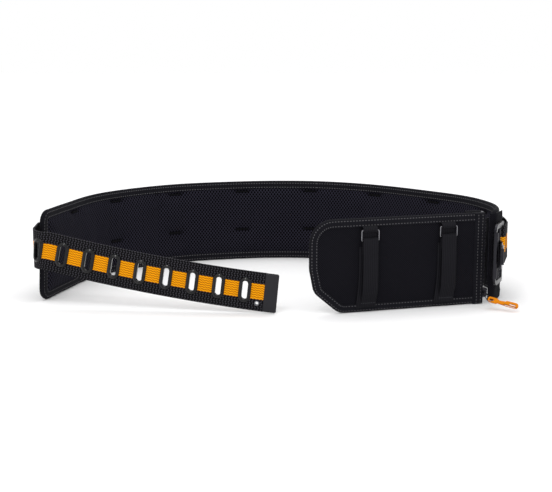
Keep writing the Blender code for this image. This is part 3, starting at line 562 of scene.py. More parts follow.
def rounded(corners, radii, steps=5):
    """An outline whose corners, taken anticlockwise, are rounded."""
    outline = []
    for i, radius in enumerate(radii):
        here = Vector(corners[i])
        back = (Vector(corners[i - 1]) - here).normalized()
        ahead = (Vector(corners[(i + 1) % len(corners)]) - here).normalized()
        half_angle = back.angle(ahead) / 2
        centre = here + (back + ahead).normalized() * radius / math.sin(half_angle)
        start = here + back * radius / math.tan(half_angle) - centre
        turn = math.pi - 2 * half_angle
        for step in range(steps + 1):
            outline.append(centre + Matrix.Rotation(turn * step / steps, 2) @ start)
    return outline


def distances(points):
    """How far along a line each of its points is."""
    steps = np.linalg.norm(np.diff(points, axis=0), axis=1)
    return np.concatenate([[0.0], np.cumsum(steps)])


def resampled(points, spacing):
    """A line's points at even distances, and those distances."""
    points = np.array([tuple(p) for p in points])
    lengths = distances(points)
    count = max(2, int(round(lengths[-1] / spacing)) + 1)
    places = np.linspace(0.0, lengths[-1], count)
    columns = [np.interp(places, lengths, points[:, k]) for k in range(points.shape[1])]
    return [Vector(p) for p in zip(*columns)], places


def curve_mesh(loops, **settings):
    """The mesh of a curve made of closed loops of straight sides."""
    curve = bpy.data.curves.new("outline", "CURVE")
    for key, value in settings.items():
        setattr(curve, key, value)
    for loop in loops:
        spline = curve.splines.new("POLY")
        spline.points.add(len(loop) - 1)
        for slot, point in zip(spline.points, loop):
            slot.co = (*point, 1.0)
        spline.use_cyclic_u = True
    holder = added("outline", curve)
    mesh = evaluated(holder)
    discard(holder)
    bpy.data.curves.remove(curve)
    return mesh


def plate(loops, half, cuts=()):
    """A flat outline with holes, half thick each way and cut across at each of cuts."""
    raised = [[(*point, 0.0) for point in loop] for loop in loops]
    mesh = curve_mesh(raised, dimensions="2D", fill_mode="BOTH", extrude=half)
    shape = bmesh.new()
    shape.from_mesh(mesh)
    bpy.data.meshes.remove(mesh)
    bmesh.ops.remove_doubles(shape, verts=shape.verts, dist=1e-6)
    for cut in cuts:
        every = shape.verts[:] + shape.edges[:] + shape.faces[:]
        bmesh.ops.bisect_plane(
            shape, geom=every, dist=1e-7, plane_co=(cut, 0.0, 0.0), plane_no=(1.0, 0.0, 0.0)
        )
    return shape


# ---------------- the belt line


def smooth_line(points, steps=24):
    """A Catmull-Rom curve through plan points, and the distance along it of each of its points."""
    knots = np.array(points)
    knots = np.vstack([2 * knots[0] - knots[1], knots, 2 * knots[-1] - knots[-2]])
    t = np.linspace(0.0, 1.0, steps, endpoint=False)[:, None]
    spans = []
    for a, b, c, d in zip(knots, knots[1:], knots[2:], knots[3:]):
        spans.append(
            0.5 * (2 * b + (c - a) * t + (2 * a - 5 * b + 4 * c - d) * t**2
                   + (3 * b - a - 3 * c + d) * t**3)
        )
    line = np.vstack([*spans, knots[-2]])
    lengths = distances(line)
    return line, lengths - lengths[BACK_POINT * steps]


LINE, LENGTHS = smooth_line(BELT_LINE)
LEFT_END = LENGTHS[0]
RIGHT_END = LENGTHS[-1]


def on_line(along):
    return Vector((np.interp(along, LENGTHS, LINE[:, 0]), np.interp(along, LENGTHS, LINE[:, 1])))


def outward(along):
    along = clamped(along, LEFT_END + 0.004, RIGHT_END - 0.004)
    tangent = (on_line(along + 0.004) - on_line(along - 0.004)).normalized()
    return Vector((-tangent.y, tangent.x))


def beside(along, out, lean):
    """A plan point outside the belt line, with the flare that the pad has at one height."""
    spot = on_line(along) + outward(along) * out
    return Vector((spot.x * lean, spot.y))


def in_row(plan, height):
    return Vector((plan.x - ORIGIN.x, plan.y - ORIGIN.y, height))


def wrap(along, height, out):
    """A place on the belt, in the row frame, from its place along, up and out of the pad."""
    kept = clamped(along, LEFT_END, RIGHT_END)
    side = outward(kept)
    plan = on_line(kept) + side * out + Vector((side.y, -side.x)) * (along - kept)
    plan.x *= 1 + FLARE * (1 - height / PAD_HEIGHT)
    return in_row(plan, height)


def pad_wrap(along, height, out):
    """The same for the pad, whose left end leans out to the strap's bend."""
    share = clamped((LEFT_LEAN_FROM - along) / (LEFT_LEAN_FROM - LEFT_END))
    return wrap(along, height, out + LEFT_LEAN * share**1.7)


def bender(sign):
    """A function that bakes a piece's place into its mesh. It works out two ends about one of the
    pad's hinges, which are not used.
    """
    ends = [wrap(sign * (FLEX_AT + reach), 0.06, 0.008) for reach in (-FLEX_REACH, FLEX_REACH)]
    return lambda obj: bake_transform(obj)


blend_left = bender(-1)
blend_right = bender(1)


def body_at(along):
    if abs(along) < FLEX_AT:
        return "back"
    return "left_wing" if along < 0 else "right_wing"


# ---------------- waist pad

PAD_INNER = -0.0062
PAD_OUTER = 0.0040
PAD_EDGE = 0.0023
EDGE_DEPTH = 0.0105
EDGE_RISE = 0.0120
FOOT_CORNER = 0.0170
TOP_CORNER = 0.0150
TACK_HALF = 0.0100
CREASES = (-0.187, PAD_SPLIT)
GRID = 0.0052


def pinch(along, height):
    """How hard stitching pulls the pad in at a place, from 0 to 1."""
    pull = 0.0
    for place in KEEPER_PLACES:
        offset = max(0.0, abs(along - place) - TACK_HALF)
        if offset <= 0.03:
            for row in TACK_ROWS:
                pull = max(pull, bell(offset, 0.006) * bell(height - row, 0.0055))
    for crease in CREASES:
        pull = max(pull, 0.55 * bell(along - crease, 0.004))
    return pull


def pad_edge(along, height):
    return min(height, PAD_HEIGHT - height, along - LEFT_END, RIGHT_END - along)


def pad_depths(along, height):
    """Inner and outer faces of the pad before it is inflated."""
    share = clamped((pad_edge(along, height) - EDGE_DEPTH) / EDGE_RISE)
    full = math.sin(share * math.pi / 2) ** 0.8
    inner = -PAD_EDGE + (PAD_INNER + PAD_EDGE) * full
    outer = PAD_EDGE + (PAD_OUTER - PAD_EDGE) * full
    pull = pinch(along, height)
    return inner + pull * 0.0042, outer - pull * 0.0010


def tucked(along, height):
    """A flat place moved inside the pad's rounded corners."""
    radius = FOOT_CORNER if height < PAD_HEIGHT / 2 else TOP_CORNER
    across = clamped(along, LEFT_END + radius, RIGHT_END - radius)
    up = clamped(height, radius, PAD_HEIGHT - radius)
    offset = Vector((along - across, height - up))
    if not offset.x or not offset.y or offset.length < radius - 0.0015:
        return along, height
    offset *= (radius - 0.0015) / offset.length
    return across + offset.x, up + offset.y


def pad_grid():
    """The closed pad, with cloth coordinates, and the vertices that stitching holds."""
    columns = int(round((RIGHT_END - LEFT_END) / GRID))
    rows = int(round(PAD_HEIGHT / GRID))

    def point_at(side, i, j):
        along = LEFT_END + (RIGHT_END - LEFT_END) * i / columns
        height = PAD_HEIGHT * j / rows
        held = pad_edge(along, height) < EDGE_DEPTH or pinch(along, height) > 0.5
        return (*tucked(along, height), pad_depths(along, height)[side]), held

    shape, grid, held = skins(columns, rows, point_at, (0, 1))
    rim = [(i, 0) for i in range(columns)] + [(columns, j) for j in range(rows)]
    rim += [(columns - i, rows - j) for i, j in rim]
    for here, there in zip(rim, rim[1:] + rim[:1]):
        ring = (grid[0, *here], grid[0, *there], grid[1, *there], grid[1, *here])
        shape.faces.new(ring).material_index = 1
    return shape, held


def inflated(shape, held, wrapping, materials, pressure, cap):
    """A closed cloth wrapped into place, then puffed out between its held vertices."""
    lay_cloth(shape)
    shape.verts.index_update()
    fixed = [vertex.index for vertex in held]
    bent(shape, wrapping)
    obj = added("raw", mesh_from(shape))
    for material in materials:
        obj.data.materials.append(MATERIALS[material])
    before = np.array([vertex.co for vertex in obj.data.vertices])
    obj.vertex_groups.new(name="held").add(fixed, 1.0, "REPLACE")
    cloth = obj.modifiers.new("cloth", "CLOTH")
    for key, value in (
        ("quality", 5), ("mass", 0.25), ("tension_stiffness", 12.0),
        ("compression_stiffness", 12.0), ("shear_stiffness", 6.0), ("bending_stiffness", 0.8),
        ("use_pressure", True), ("uniform_pressure_force", pressure),
        ("vertex_group_mass", "held"),
    ):
        setattr(cloth.settings, key, value)
    cloth.settings.effector_weights.gravity = 0.0
    cloth.collision_settings.use_collision = False
    for number in range(1, 21):
        bpy.context.scene.frame_set(number)
    mesh = evaluated(obj)
    step = np.array([vertex.co for vertex in mesh.vertices]) - before
    length = np.linalg.norm(step, axis=1, keepdims=True)
    step *= np.minimum(1.0, cap / np.maximum(length, 1e-9))
    mesh.vertices.foreach_set("co", (before + step).ravel())
    bpy.context.scene.frame_set(1)
    discard(obj)

    holder = added("subdivide", mesh)
    holder.modifiers.new("smooth", "SUBSURF").levels = 1
    finer = evaluated(holder)
    discard(holder)
    return finer


def cut_in_two(mesh, along):
    """The parts of a mesh before and after a place along the belt, each closed again."""
    side = outward(along)
    halves = []
    for keep_after in (False, True):
        shape = bmesh.new()
        shape.from_mesh(mesh)
        every = shape.verts[:] + shape.edges[:] + shape.faces[:]
        bmesh.ops.bisect_plane(
            shape, geom=every, plane_co=pad_wrap(along, 0.06, 0.0),
            plane_no=(side.y, -side.x, 0.0), clear_inner=keep_after, clear_outer=not keep_after,
        )
        rim = [edge for edge in shape.edges if edge.is_boundary]
        bmesh.ops.holes_fill(shape, edges=rim, sides=0)
        halves.append(mesh.copy())
        shape.to_mesh(halves[-1])
        shape.free()
    return halves


def build_pad():
    whole = inflated(*pad_grid(), pad_wrap, ("spacer_mesh", "shell"), 3.0, 0.0040)
    left, right = cut_in_two(whole, PAD_SPLIT)
    for mesh, name, blend, nodes in (
        (left, "pad_left", blend_left, ("back_shell", "back_foam", "back_lining", "left_shell",
                                        "left_foam", "left_lining")),
        (right, "pad_right", blend_right, ("right_shell", "right_foam", "right_lining")),
    ):
        piece = piece_of(mesh, name, "shell", "spacer_mesh", 60, blend, *nodes)


BINDING_DEPTH = 0.0110
BINDING_HALF = 0.0031


def tape_section(half, lip, inside):
    """A folded tape's closed section: its lip, its fold, the other lip and its inside."""
    turns = [math.radians(a) for a in range(0, 181, 20)]
    fold = [(half * (1 - math.sin(a)), half * math.cos(a)) for a in turns]
    return [*lip, *fold, *[(d, -n) for d, n in lip[::-1] + inside], *inside[::-1]]


def edge_path(points, radii, spacing=0.006):
    """Places along a flat outline whose inner corners are rounded.

    Each gives its edge point, the direction in from the edge, and its distance along the tape.
    """
    places = []
    length = 0.0
    last = len(points) - 2
    for i in range(len(points) - 1):
        here, there = Vector(points[i]), Vector(points[i + 1])
        ahead = (there - here).normalized()
        inward = Vector((ahead.y, -ahead.x))
        start = radii[i - 1] if i > 0 else 0.0
        stop = (there - here).length - (radii[i] if i < last else 0.0)
        count = max(1, int(round((stop - start) / spacing)))
        for step in range(count + 1):
            run = start + (stop - start) * step / count
            places.append((here + ahead * run, inward, length + run))
        length += (there - here).length
        if i < last:
            radius = radii[i]
            following = (Vector(points[i + 2]) - there).normalized()
            turned = Vector((following.y, -following.x))
            centre = there + (inward + turned) * radius
            for step in range(1, 6):
                turn = step / 6 * math.pi / 2
                towards = inward * math.cos(turn) + turned * math.sin(turn)
                places.append((centre - towards * radius, towards,
                               length + (step / 6 - 0.5) * radius))
    return places


def build_bindings():
    """Tape folded over the pad's edge, in a left and a right piece."""
    lip = [(BINDING_DEPTH, BINDING_HALF + 0.0003), (BINDING_DEPTH * 0.85, BINDING_HALF + 0.0006),
           (BINDING_DEPTH * 0.5, BINDING_HALF + 0.0001)]
    inside = [(BINDING_DEPTH, BINDING_HALF - 0.0004), (0.0030, BINDING_HALF - 0.0010)]
    section = tape_section(BINDING_HALF, lip, inside)
    left = [(PAD_SPLIT, 0.0), (LEFT_END, 0.0), (LEFT_END, PAD_HEIGHT), (PAD_SPLIT, PAD_HEIGHT)]
    right = [(PAD_SPLIT, PAD_HEIGHT), (RIGHT_END, PAD_HEIGHT), (RIGHT_END, 0.0), (PAD_SPLIT, 0.0)]
    for name, outline, radii, blend, nodes in (
        ("binding_left", left, (FOOT_CORNER, TOP_CORNER), blend_left,
         ("back_top_binding", "back_bottom_binding", "left_binding")),
        ("binding_right", right, (TOP_CORNER, FOOT_CORNER), blend_right, ("right_binding",)),
    ):
        places = edge_path(outline, radii)
        rings = [[pad_wrap(*(spot + inward * d), n) for d, n in section]
                 for spot, inward, _ in places]
        mesh = loft(rings, lambda k, i: (places[k][2], section[i][0]))
        piece_of(mesh, name, "pad_binding", "binding_tape", 50, blend, *nodes)


# ---------------- strap and tongue

# The strap's own coordinate runs from the pad to the left, and then to the tongue's tip.
STRAP_SHIFT = 0.3823
BEND_TURN = TONGUE_HEADING - TONGUE_LEAD_HEADING
BEND_LENGTH = TONGUE_BEND * BEND_TURN
TONGUE_START = -TONGUE_LEAD - BEND_LENGTH
TONGUE_ROOT = 0.0145
SETTLING = 0.028
SLOT_FROM_CUT = 0.010


def smooth_step(share):
    share = clamped(share)
    return share * share * (3 - 2 * share)


def headed(angle):
    return Vector((math.cos(angle), math.sin(angle)))


def right_of(heading):
    return Vector((math.sin(heading), -math.cos(heading)))


def left_rise(along):
    """How far the strap stands off the pad's left end, where the tongue leaves it."""
    reach = LEFT_RISE_FROM - LEFT_STRAP_END - 0.0155
    return LEFT_RISE * smooth_step((LEFT_RISE_FROM - along) / reach)


def tongue_line(along):
    """Plan point and heading of the tongue, measured from the end of its bend."""
    lead = headed(TONGUE_LEAD_HEADING)
    if along < -BEND_LENGTH:
        return TONGUE_HINGE + lead * (along - TONGUE_START), TONGUE_LEAD_HEADING
    centre = TONGUE_HINGE + lead * TONGUE_LEAD + Vector((-lead.y, lead.x)) * TONGUE_BEND
    heading = TONGUE_LEAD_HEADING + BEND_TURN * min(1.0, (along + BEND_LENGTH) / BEND_LENGTH)
    spot = centre + right_of(heading) * TONGUE_BEND
    return spot + headed(heading) * max(0.0, along), heading


def tongue_fall(along):
    """Height of the tongue's middle line and its downward slope."""
    run = max(0.0, along)
    height = TONGUE_START_HEIGHT - TONGUE_SLOPE * run + TONGUE_LEVELLING * run * run
    slope = TONGUE_SLOPE - 2 * TONGUE_LEVELLING * run
    if along < 0:
        ease = clamped((along - TONGUE_START) / (BEND_LENGTH + TONGUE_LEAD))
        height += (WEBBING_MIDDLE - TONGUE_START_HEIGHT) * (1 - ease) ** 2
        slope *= ease
    return height, slope


def drape(along, up, out):
    """A place on the tongue, in the row frame, from its place on the flat strap."""
    middle, slope = tongue_fall(along)
    tilt = math.atan(slope)
    spot, heading = tongue_line(along + up * math.sin(tilt))
    return in_row(spot + right_of(heading) * out, middle + up * math.cos(tilt))


def round_pad(on_pad, up, out):
    """A place on the strap round the pad."""
    return wrap(on_pad, WEBBING_MIDDLE + up, WEBBING_OUT + left_rise(on_pad) + out)


def off_pad(along, up, out):
    """A place on the tongue, or on its root where it settles from the pad's curve."""
    share = smooth_step((along - TONGUE_START + SETTLING) / SETTLING)
    draped = drape(along, up, out)
    if share == 1.0:
        return draped
    return round_pad(along - STRAP_SHIFT, up, out).lerp(draped, share)


def bend_root(obj):
    off_pad(TONGUE_START - 0.006, 0.0, 0.0)
    off_pad(TONGUE_START + 0.010, 0.0, 0.0)
    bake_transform(obj)


def declare_strap(length, slots):
    """Works out the area of a length of strap, less its slots, and does not use it."""
    slot = math.pi * SLOT_HALF_WIDTH**2
    slot += 4 * SLOT_HALF_WIDTH * (SLOT_HALF_HEIGHT - SLOT_HALF_WIDTH)
    area = WEBBING_WIDTH * length - slots * slot


def strap_piece(name, low, high, step, shift, place, holes, body, *nodes):
    """A length of strap wrapped into place, with its slots, whose places are returned."""
    half = WEBBING_WIDTH / 2
    clear = GROMMET_WALL * 0.5
    spots = [SLOT_AT + SLOT_PITCH * i - shift for i in range(-2, 26)]
    spots = [spot for spot in spots if low + SLOT_FROM_CUT < spot < high - SLOT_FROM_CUT]
    loops = [[(low, -half), (high, -half), (high, half), (low, half)]]
    for spot in spots:
        loops.append(stadium(SLOT_HALF_WIDTH + clear, SLOT_HALF_HEIGHT + clear, 6, (spot, 0.0)))
    count = math.ceil((high - low) / step)
    cuts = [low + (high - low) * (i + 0.5) / count for i in range(count)]
    shape = plate(loops + holes, WEBBING_HALF, cuts)
    lay_cloth(shape, shift)
    bent(shape, place)
    piece = piece_of(mesh_from(shape), name, "checked_webbing", "belt_webbing", 50, body, *nodes)
    declare_strap(high - low, len(spots))
    return spots


def eyelet_at(place, move, name, body, *nodes):
    """A raised oval eyelet through the strap."""
    grip = WEBBING_HALF - 0.0002
    crown = WEBBING_HALF + 0.0026
    section = [(0.0, 0.0)] + mirrored([
        (0.0, crown * 0.70), (0.0004, crown * 0.92), (0.0013, crown), (0.0022, crown * 0.93),
        (0.0027, crown * 0.78), (0.0036, crown * 0.66), (GROMMET_FLANGE * 0.94, crown * 0.54),
        (GROMMET_FLANGE, grip + 0.0003), (GROMMET_FLANGE, grip), (GROMMET_WALL, grip),
    ])
    outline = [Vector(point) for point in stadium(SLOT_HALF_WIDTH, SLOT_HALF_HEIGHT)]
    rings = []
    for point, side in with_sides(outline, closed=True):
        spots = [(point - side * depth, out) for depth, out in section]
        rings.append([move(place + spot.x, spot.y, out) for spot, out in spots])
    piece_of(loft(rings, closed=True), name, "eyelet", "eyelet", 70, body, *nodes)


def build_straps():
    """The tongue, and the strap round the pad in a left and a right piece, with their eyelets."""
    tip = TONGUE_RUN - TONGUE_TIP_LENGTH
    eyelet_hole = arc(TIP_EYELET, TIP_EYELET_RADIUS, 0, 337.5, 15)
    strap_piece("strap_tongue", TONGUE_START - TONGUE_ROOT, tip, 0.0045, 0.0, off_pad,
                [eyelet_hole], bend_root, "tongue_webbing")
    for name, low, high, blend, nodes in (
        ("strap_left", LEFT_STRAP_END - 0.0005, STRAP_SPLIT, blend_left,
         ("back_webbing", "left_webbing")),
        ("strap_right", STRAP_SPLIT, RIGHT_STRAP_END + 0.0005, blend_right, ("right_webbing",)),
    ):
        spots = strap_piece(name, low, high, 0.006, STRAP_SHIFT, round_pad, [], blend, *nodes)
        for number, spot in enumerate(spots, 1):
            body = body_at(spot)
            if abs(abs(spot) - FLEX_AT) < FLEX_REACH + 0.010:
                body = blend_left if spot < 0 else blend_right
            eyelet_at(spot, round_pad, f"{name}_eyelet_{number}", body)
    for i in range(9):
        nodes = (f"grommet_{i}",) if i > 0 else ()
        eyelet_at(SLOT_AT + SLOT_PITCH * (i - 1), drape, f"tongue_eyelet_{i + 1}", "tongue", *nodes)


def build_tip():
    """The moulded end of the tongue: a thin sleeve with soft edges."""
    half = WEBBING_WIDTH / 2
    thick = 0.0019
    start = TONGUE_RUN - TONGUE_TIP_LENGTH - 0.0006
    section = mirrored([(-1.0, 0.30), (-0.97, 0.80), (-0.90, 1.0), (-0.5, 1.0), (0.0, 1.0),
                        (0.5, 1.0), (0.90, 1.0), (0.97, 0.80), (1.0, 0.30)])
    rings = []
    for column, size in (
        (start, 0.80), (start + 0.0004, 0.95), (start + 0.0012, 1.0), (start + 0.005, 1.0),
        (start + 0.010, 1.0), (TONGUE_RUN - 0.0022, 0.98), (TONGUE_RUN - 0.0010, 0.80),
        (TONGUE_RUN - 0.0002, 0.35),
    ):
        pull = 0.0015 * (1 - size) / 0.65 if column > TONGUE_RUN - 0.004 else 0.0
        rings.append([drape(column, (half - pull) * h, thick * size * r) for h, r in section])
    piece_of(loft(rings), "tongue_tip_sleeve", "tip", "tip_plastic", 60, "tongue", "tongue_tip")


def build_tip_eyelet():
    rings = []
    for turn in np.linspace(0.0, 2 * math.pi, 24, endpoint=False):
        ring = []
        for radius, out in arc((0.0026, 0.0), 0.0008, 0, 330, 11):
            spot = Vector(TIP_EYELET) + headed(turn) * radius
            ring.append(drape(*spot, 1.3 * out + math.copysign(WEBBING_HALF * 0.7, out)))
        rings.append(ring)
    piece_of(loft(rings, closed=True), "tongue_tip_eyelet", "ring", "ring_steel", 80, "tongue")


def build_fold():
    """The strap's end, from the pad round the buckle's far bar and back under itself."""
    lean = 1 + FLARE * (1 - WEBBING_MIDDLE / PAD_HEIGHT)
    bar = BUCKLE_NEAR - BUCKLE_FAR
    heading = math.degrees(math.atan2(bar.y, bar.x))
    inner = [beside(RIGHT_STRAP_END + step, out, lean) for step, out in FOLD_INNER]
    turn = arc(BUCKLE_FAR, FOLD_RADIUS, heading - 90, heading + 90, 10)
    end = beside(RIGHT_STRAP_END + 0.0020, FOLD_OUTER_OUT, lean)
    line, places = resampled([*inner, *turn, end], 0.0022)

    half = WEBBING_WIDTH / 2 - 0.0005
    section = ((-half, -FOLD_HALF), (-half, FOLD_HALF), (half, FOLD_HALF), (half, -FOLD_HALF))
    rings = [[in_row(here + side * out, WEBBING_MIDDLE + up) for up, out in section]
             for here, side in with_sides(line)]
    start = RIGHT_STRAP_END + STRAP_SHIFT
    mesh = loft(rings, lambda k, i: (start + places[k], section[i][0]))
    piece = piece_of(mesh, "strap_fold", "checked_webbing", "belt_webbing", 50, "right_wing",
                     "buckle_fold")
    declare_strap(places[-1], 0)


# ---------------- keepers


def band_piece(line, half, width, move, name, material, body, *nodes):
    """A soft band: a line of its section swept across its width, with rounded sides."""
    points, places = resampled(line, 0.0015)
    side_edge = [(-1.0, 0.25), (-0.94, 0.85), (-0.8, 1.0)]
    across = [(-0.8 + 1.6 * i / 6, 1.0) for i in range(1, 6)]
    section = mirrored(side_edge + across + [(-w, t) for w, t in side_edge[::-1]])
    rings = [[move(*(here + side * (half * t)), w * width / 2) for w, t in section]
             for here, side in with_sides(points)]
    mesh = loft(rings, lambda k, i: (places[k], section[i][0] * width / 2))
    piece_of(mesh, name, material, "keeper_webbing", 60, body, *nodes)


def build_keepers():
    places = [END_KEEPER_AT[0], *KEEPER_PLACES, END_KEEPER_AT[1]]
    outs = [LEFT_KEEPER_OUT, KEEPER_OUT + 0.0030, *[KEEPER_OUT] * 8]
    for number, (along, out) in enumerate(zip(places, outs), 1):
        foot = [(0.0058, 0.0), (0.0060, 0.0055), (0.0066, 0.0072), (out - 0.0020, 0.0082),
                (out, 0.0105)]
        line = [(depth, KEEPER_LOW + rise) for depth, rise in foot]
        line.append((out + 0.0004, WEBBING_MIDDLE))
        line += [(depth, KEEPER_HIGH - rise) for depth, rise in foot[::-1]]

        def stand(depth, height, across, along=along):
            return wrap(along + across, height, depth)

        band_piece(line, KEEPER_HALF, KEEPER_WIDTH, stand, f"keeper_band_{number:02d}",
                   "keeper_webbing", body_at(along), f"keeper_{number:02d}")


def build_tacks():
    """The bar tacks that hold each keeper, seen in the pad's dimples."""
    stitches = 13
    number = 0
    for along in KEEPER_PLACES:
        for height in TACK_ROWS:
            number += 1
            depth = pad_depths(along, height)[0] - 0.0016
            shape = bmesh.new()
            for i in range(stitches):
                share = -1 + 2 * i / (stitches - 1)
                bmesh.ops.create_uvsphere(
                    shape, u_segments=6, v_segments=4, radius=0.0010,
                    matrix=Matrix.Translation((share * TACK_HALF * 0.8, 0.0, 0.0))
                    @ Matrix.Diagonal((1.2, 1.25, 1.0, 1.0)),
                )
            bent(shape, lambda x, y, z: pad_wrap(along + x, height + y, depth + z))
            piece_of(mesh_from(shape), f"bar_tack_{number:02d}", "thread", "keeper_webbing", 80,
                     body_at(along))


# ---------------- front panel

PANEL_ALONG = headed(PANEL_HEADING)
PANEL_FRONT = Vector((-PANEL_ALONG.y, PANEL_ALONG.x))
PANEL_BINDING = 0.0105
PANEL_HALF = 0.0040
PANEL_GRID = 0.0050
SEAM_BAND = 0.0165


def on_panel(along, height, depth):
    return in_row(PANEL_HINGE + PANEL_ALONG * along + PANEL_FRONT * depth, height)


def panel_outline():
    corners = [
        (PANEL_NEAR, 0.0), (PANEL_FAR - 0.006 - PANEL_CUT_LENGTH, 0.0),
        (PANEL_FAR - 0.006, PANEL_CUT_HEIGHT), (PANEL_FAR, 0.058), (PANEL_FAR, PAD_HEIGHT),
        (PANEL_NEAR, PAD_HEIGHT),
    ]
    return rounded(corners, (0.003, 0.020, 0.020, 0.028, 0.030, 0.003), 8)


def inside_distance(outline, point):
    """Distance from a flat point to the outline, positive inside it."""
    best = 1.0
    inside = False
    x, y = point
    for a, b in zip(outline, outline[1:] + outline[:1]):
        edge = b - a
        share = clamped((point - a).dot(edge) / max(edge.length_squared, 1e-12))
        best = min(best, (point - a - edge * share).length)
        if (a.y > y) != (b.y > y) and x < (b.x - a.x) * (y - a.y) / (b.y - a.y) + a.x:
            inside = not inside
    return best if inside else -best


def panel_pinch(along, height):
    """How hard the sewn ends of the straps and tabs pull the panel in, from 0 to 1."""
    pull = 0.0
    for middle in PANEL_STRAPS.values():
        across = max(0.0, abs(along - middle) - 0.009)
        for row in (0.0135, 0.1110):
            pull = max(pull, bell(across, 0.005) * bell(height - row, 0.006))
    return pull


def build_panel_pad():
    outline = panel_outline()
    columns = int((PANEL_FAR - PANEL_NEAR) / PANEL_GRID)
    rows = int(PAD_HEIGHT / PANEL_GRID)

    def point_at(side, i, j):
        along = PANEL_NEAR + 0.001 + (PANEL_FAR - PANEL_NEAR - 0.002) * i / columns
        height = 0.001 + (PAD_HEIGHT - 0.002) * j / rows
        edge = inside_distance(outline, Vector((along, height)))
        if edge < 0.0015:
            return None
        depth = 0.0028 + 0.0008 * math.sin(min(edge / 0.020, 1.0) * math.pi / 2) ** 0.6
        pull = panel_pinch(along, height)
        depth = depth - 0.0012 * pull if side else -depth
        return (along, height, depth), edge < PANEL_BINDING or pull > 0.5

    shape, _, held = skins(columns, rows, point_at, (0, 0))
    bmesh.ops.bridge_loops(shape, edges=[edge for edge in shape.edges if edge.is_boundary])
    mesh = inflated(shape, held, on_panel, ("shell",), 2.5, 0.0026)
    piece = piece_of(mesh, "panel_pad", "shell", "shell_fabric", 60, "panel", "panel_front",
                     "panel_foam", "panel_back")


def build_panel_binding():
    """Tape folded round the panel's edge, and the wider band beside the zipper."""
    lip = [(PANEL_BINDING, 0.0036), (PANEL_BINDING * 0.97, 0.0044), (PANEL_BINDING * 0.6, 0.0043)]
    section = tape_section(PANEL_HALF, lip, [(PANEL_BINDING, 0.0030), (0.0030, 0.0026)])
    outline = panel_outline()
    line, places = resampled([*outline, outline[0]], 0.0030)
    line.pop()
    rings = [[on_panel(*(here + inward * depth), out) for depth, out in section]
             for here, inward in with_sides(line, closed=True)]
    mesh = loft(rings, lambda k, i: (places[k], section[i][0]), closed=True)
    piece_of(mesh, "panel_edge_tape", "panel_binding", "binding_tape", 50, "panel",
             "panel_binding")

    rows = 40
    band = mirrored([(0.0016, 0.0034), (0.0022, 0.0046), (0.0036, 0.0052), (0.0100, 0.0052),
                     (SEAM_BAND - 0.001, 0.0049), (SEAM_BAND, 0.0038)])
    rings = []
    for k in range(rows + 1):
        height = 0.0006 + (PAD_HEIGHT - 0.0010) * k / rows
        ripple = 0.0004 * math.sin(k * 1.7) * math.sin(k * 0.6)
        rings.append([on_panel(d + ripple, height, n + ripple * 0.8) for d, n in band])
    mesh = loft(rings, lambda k, i: (PAD_HEIGHT * k / rows, band[i][0]))
    piece_of(mesh, "zipper_seam_band", "seam_band", "binding_tape", 50, "panel")


def build_panel_straps():
    """The two straps, the webbing behind them, and the tabs of the rings they hang from."""
    strap = [
        (0.0052, 0.0060), (0.0056, 0.0120), (0.0064, 0.0170), (0.0090, 0.0225), (0.0112, 0.0290),
        (0.0118, 0.0480), (0.0114, RING_BOTTOM - 0.0060),
        *arc((RING_OUT, RING_BOTTOM), 0.0028, 10, 175, 8),
        (0.0062, RING_BOTTOM - 0.0040), (0.0080, RING_BOTTOM - 0.0100),
        (0.0092, RING_BOTTOM - 0.0160),
    ]
    backing = [(0.0046, 0.0055), (0.0050, 0.0150), (0.0058, 0.0300), (0.0060, 0.0600),
               (0.0056, 0.0840)]
    tab = [
        (0.0050, RING_TOP + 0.0048), (0.0078, RING_TOP + 0.0040), (0.0100, RING_TOP + 0.0020),
        *arc((RING_OUT, RING_TOP), 0.0017, 10, -170, 10),
        (0.0060, RING_TOP - 0.0030), (0.0054, RING_TOP - 0.0080), (0.0050, RING_BOTTOM - 0.006),
    ]
    for number, middle in PANEL_STRAPS.items():
        def stand(depth, height, across, middle=middle):
            return on_panel(middle + across, height, depth)

        def behind(depth, height, across, middle=middle):
            lean = 0.0035 + 0.0035 * bell(height, 0.030)
            return on_panel(middle + lean + across, height, depth)

        band_piece(strap, 0.0007, 0.0200, stand, f"panel_strap_band_{number}", "strap_webbing",
                   "panel", f"panel_strap_{number}")
        band_piece(backing, 0.0006, 0.0200, behind, f"panel_strap_backing_{number}",
                   "keeper_webbing", "panel")
        band_piece(tab, 0.0005, 0.0190, stand, f"ring_tab_band_{number}", "keeper_webbing",
                   "panel", f"ring_tab_{number}")


def build_gusset():
    """The puckered cloth that joins the pad's right end to the zipper."""
    lean = 1 + FLARE * 0.5
    points = [beside(along, out, lean) for along, out in
              ((0.4380, 0.0050), (0.4480, 0.0053), (0.4560, 0.0054), (RIGHT_END, 0.0050))]
    points.append(beside(RIGHT_END, 0.0020, lean) - Vector((0.0, 0.0042)))
    points.append(PANEL_HINGE - PANEL_ALONG * 0.0056 + PANEL_FRONT * 0.0026)
    line, places = resampled(points, 0.0020)
    half = 0.0005
    rows = 24
    rings = []
    for i, (here, side) in enumerate(with_sides(line)):
        column = []
        for j in range(rows + 1):
            pucker = 0.0005 * math.sin(j * 0.9 + i * 0.35) * math.sin(j * 0.37)
            column.append((pucker, 0.0025 + (PAD_HEIGHT - 0.0045) * j / rows))
        rings.append([in_row(here + side * (pucker - half), height) for pucker, height in column]
                     + [in_row(here + side * (pucker + half), height)
                        for pucker, height in column[::-1]])
    mesh = loft(rings, lambda k, i: (places[k], rings[k][i].z))
    piece_of(mesh, "zipper_gusset", "shell", "shell_fabric", 60, "right_wing")


# ---------------- hardware

